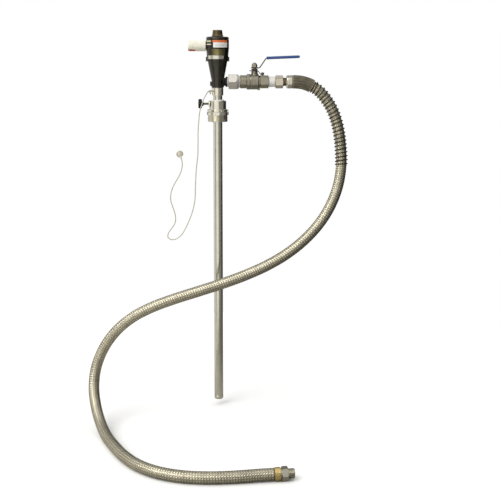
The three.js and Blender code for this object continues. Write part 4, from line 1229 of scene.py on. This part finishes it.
def dipped_grip():
    """The vinyl sleeve on the lever: a soft flattened bar with a thicker mouth and a rounded end."""
    count = 32
    stations = [(0, 0.93), (0.5, 1.0), (3.2, 1.0), (4.0, 0.955), (12, 0.95), (30, 0.965), (60, 0.975),
                (88, 0.965), (94, 0.93), (96.6, 0.84), (97.7, 0.66), (98, 0.4)]
    points = []
    for x, s in stations:
        for k in range(count):
            a = 2 * math.pi * k / count
            c, t = math.cos(a), math.sin(a)
            y = 11.2 * math.copysign(abs(c) ** 0.45, c) * (s if x < 90 else 0.35 + 0.65 * s)
            z = 4.3 * math.copysign(abs(t) ** 0.6, t) * s
            points.append((x, y, z))
    obj = loft("lever_grip_dipped", points, count)
    carve(obj, box("pocket", (-1, -9.8, -1.9), (95, 9.8, 1.9)))
    return spun(obj, [("y", -math.degrees(LEVER_SLOPE))], (145.4, 0, 167.95))


finish(dipped_grip(), BLUE, "lever_grip", body="valve_handle", bevel=0.3)

lever_nut = headed("lever_nut_hex", 6, 15, [
    (0, 141.6), (7.9, 141.6), (8.6, 142.3), (8.6, 148.6), (7.5, 149.6), (0, 149.6),
], at=AT_STEM, round_sides=64)
fuse(lever_nut, lathe("dome", [
    (0, 148), (6.6, 148), (6.6, 149.8), (6.1, 151.6), (4.6, 153.3), (2.4, 154.2), (0, 154.4),
], at=AT_STEM, sides=64, radius=0.5))
carve(lever_nut, rod("bore", 5, 138, 150.6, at=AT_STEM, sides=48))
lever_washer = lathe("washer", [(5.1, 140.7), (8.4, 140.7), (8.4, 141.5), (5.1, 141.5)],
                     at=AT_STEM, sides=64, radius=0.2)
finish(merge(lever_nut, lever_washer), CAST, "lever_nut", body="valve_handle", bevel=0.3)

nipple = hexagon("nipple_hex", 33.8, 171, 194.5, 8.6, 0.0, 2.0, at=AT_OUTLET)
nipple_thread = thread("nipple_thread", 14.7, 1.1, PIPE_PITCH, 138, 171, 8.6, "x", AT_OUTLET)
nipple_neck = lathe("nipple_neck", [
    (8.6, 194.3), (13.4, 194.3), (12.2, 195.4), (12, 197), (12, 205.8), (8.6, 205.8),
], "x", AT_OUTLET, 72, 0.3)
finish(merge(nipple, nipple_thread), NIPPLE, "hose_nipple", bevel=0.6, segments=3)
finish(nipple_neck, BRONZE)


# ------------------------------ inside parts, kept from the frame

# The end plates take the black coat; on the lower plate it also gives painted shade in the thin gap between
# the case and the cone, where the plate shows through.
INSIDE = {
    "motor_liner": STEEL_Z, "lower_end_plate": BLACK, "upper_end_plate": BLACK,
    "lower_bearing": POLISHED_Z, "upper_bearing": POLISHED_Z, "motor_rotor": STEEL_Z,
    "vane_1": VANE, "vane_2": VANE, "vane_3": VANE, "vane_4": VANE, "drive_shaft": STEEL_Z,
    "shaft_coupling": STEEL_Z, "impeller": STEEL_Z, "shaft_seal": RUBBER, "union_gasket": RUBBER,
    "guide_bush_1": WHITE, "guide_bush_2": WHITE, "ball_seat_left": WHITE, "ball_seat_right": WHITE,
    "stem_packing": WHITE, "valve_ball": POLISHED_X, "clamp_pad": BRASS, "union_tailpiece": STEEL_X,
}
for node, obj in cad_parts.items():
    if obj.hide_render:
        continue
    obj.data.materials.clear()
    obj.data.materials.append(INSIDE[node])

# ------------------------------ stage and light


def pale_floor():
    bpy.ops.mesh.primitive_grid_add(x_subdivisions=8, y_subdivisions=8, size=2.1,
                                    location=(0, 0.05, FLOOR_Z))
    floor = bpy.context.object
    floor.name = "floor"
    look = Look("floor", (0.93, 0.93, 0.925), 0.75)
    look.blotches(1.5, 0.995, 1.005)
    rays = look.add("ShaderNodeLightPath")
    base = look.shader.inputs["Base Color"]
    across = look.add("ShaderNodeSeparateXYZ")
    look.link(look.coordinates(), across.inputs["Vector"])
    side = look.spread(across.outputs["X"], 0, 1, -0.45, 0.5)
    room_side = look.mix(side, (0.66, 0.645, 0.60), (0.13, 0.125, 0.11))
    look.link(look.mix(rays.outputs["Is Camera Ray"], room_side, base.links[0].from_socket), base)
    floor.data.materials.append(look.done("floor"))


# The light on the room's wall at (degrees round from the front, level).
WALL_LIGHT = [
    (-180, 0.14), (-158, 0.2), (-145, 0.72), (-118, 0.75), (-100, 0.85), (-85, 0.85), (-72, 0.42),
    (-52, 0.42), (-44, 1.0), (-10, 0.95), (8, 0.9), (18, 0.28), (40, 0.26), (75, 0.24), (92, 0.03),
    (150, 0.03), (166, 0.12), (180, 0.14),
]
WALL_STRENGTH = 1.25
CEILING = (0.85, 0.85, 0.84)


def studio():
    """A pale room with a bright front left and dark panels at the sides, for the metal to show."""
    world = bpy.data.worlds.new("studio")
    scene.world = world
    world.use_nodes = True
    room = Nodes(world.node_tree)
    where = room.add("ShaderNodeTexCoord")
    parts = room.add("ShaderNodeSeparateXYZ")
    room.link(where.outputs["Generated"], parts.inputs["Vector"])
    back = room.maths("MULTIPLY", parts.outputs["Y"], -1)
    share = room.spread(room.maths("ARCTAN2", parts.outputs["X"], back), 0, 1, -math.pi, math.pi)
    ramp = room.add("ShaderNodeValToRGB")
    room.link(share, ramp.inputs["Fac"])
    elements = ramp.color_ramp.elements
    while len(elements) < len(WALL_LIGHT):
        elements.new(0.5)
    for element, (degrees, level) in zip(elements, WALL_LIGHT):
        element.position = (degrees + 180) / 360
        element.color = (level, level * 0.985, level * 0.95, 1)
    height = room.spread(parts.outputs["Z"], 0, 1, 0.35, 0.85)
    wall = room.nodes["Background"]
    room.link(room.mix(height, ramp.outputs["Color"], CEILING), wall.inputs["Color"])
    wall.inputs["Strength"].default_value = WALL_STRENGTH
    seen = room.add("ShaderNodeBackground")
    seen.inputs["Color"].default_value = (1, 1, 1, 1)
    seen.inputs["Strength"].default_value = 1.0
    rays = room.add("ShaderNodeLightPath")
    pick = room.add("ShaderNodeMixShader")
    room.link(rays.outputs["Is Camera Ray"], pick.inputs["Fac"])
    room.link(wall.outputs["Background"], pick.inputs[1])
    room.link(seen.outputs["Background"], pick.inputs[2])
    room.link(pick.outputs["Shader"], room.nodes["World Output"].inputs["Surface"])


def sun(name, strength, angle, turn):
    lamp = bpy.data.objects.new(name, bpy.data.lights.new(name, "SUN"))
    lamp.data.energy = strength
    lamp.data.angle = math.radians(angle)
    lamp.rotation_euler = [math.radians(a) for a in turn]
    scene.collection.objects.link(lamp)


pale_floor()
studio()
sun("key", 1.6, 40, (38, -22, -20))
scene.view_settings.view_transform = "Standard"
scene.view_settings.look = "None"
scene.view_settings.exposure = 0.0
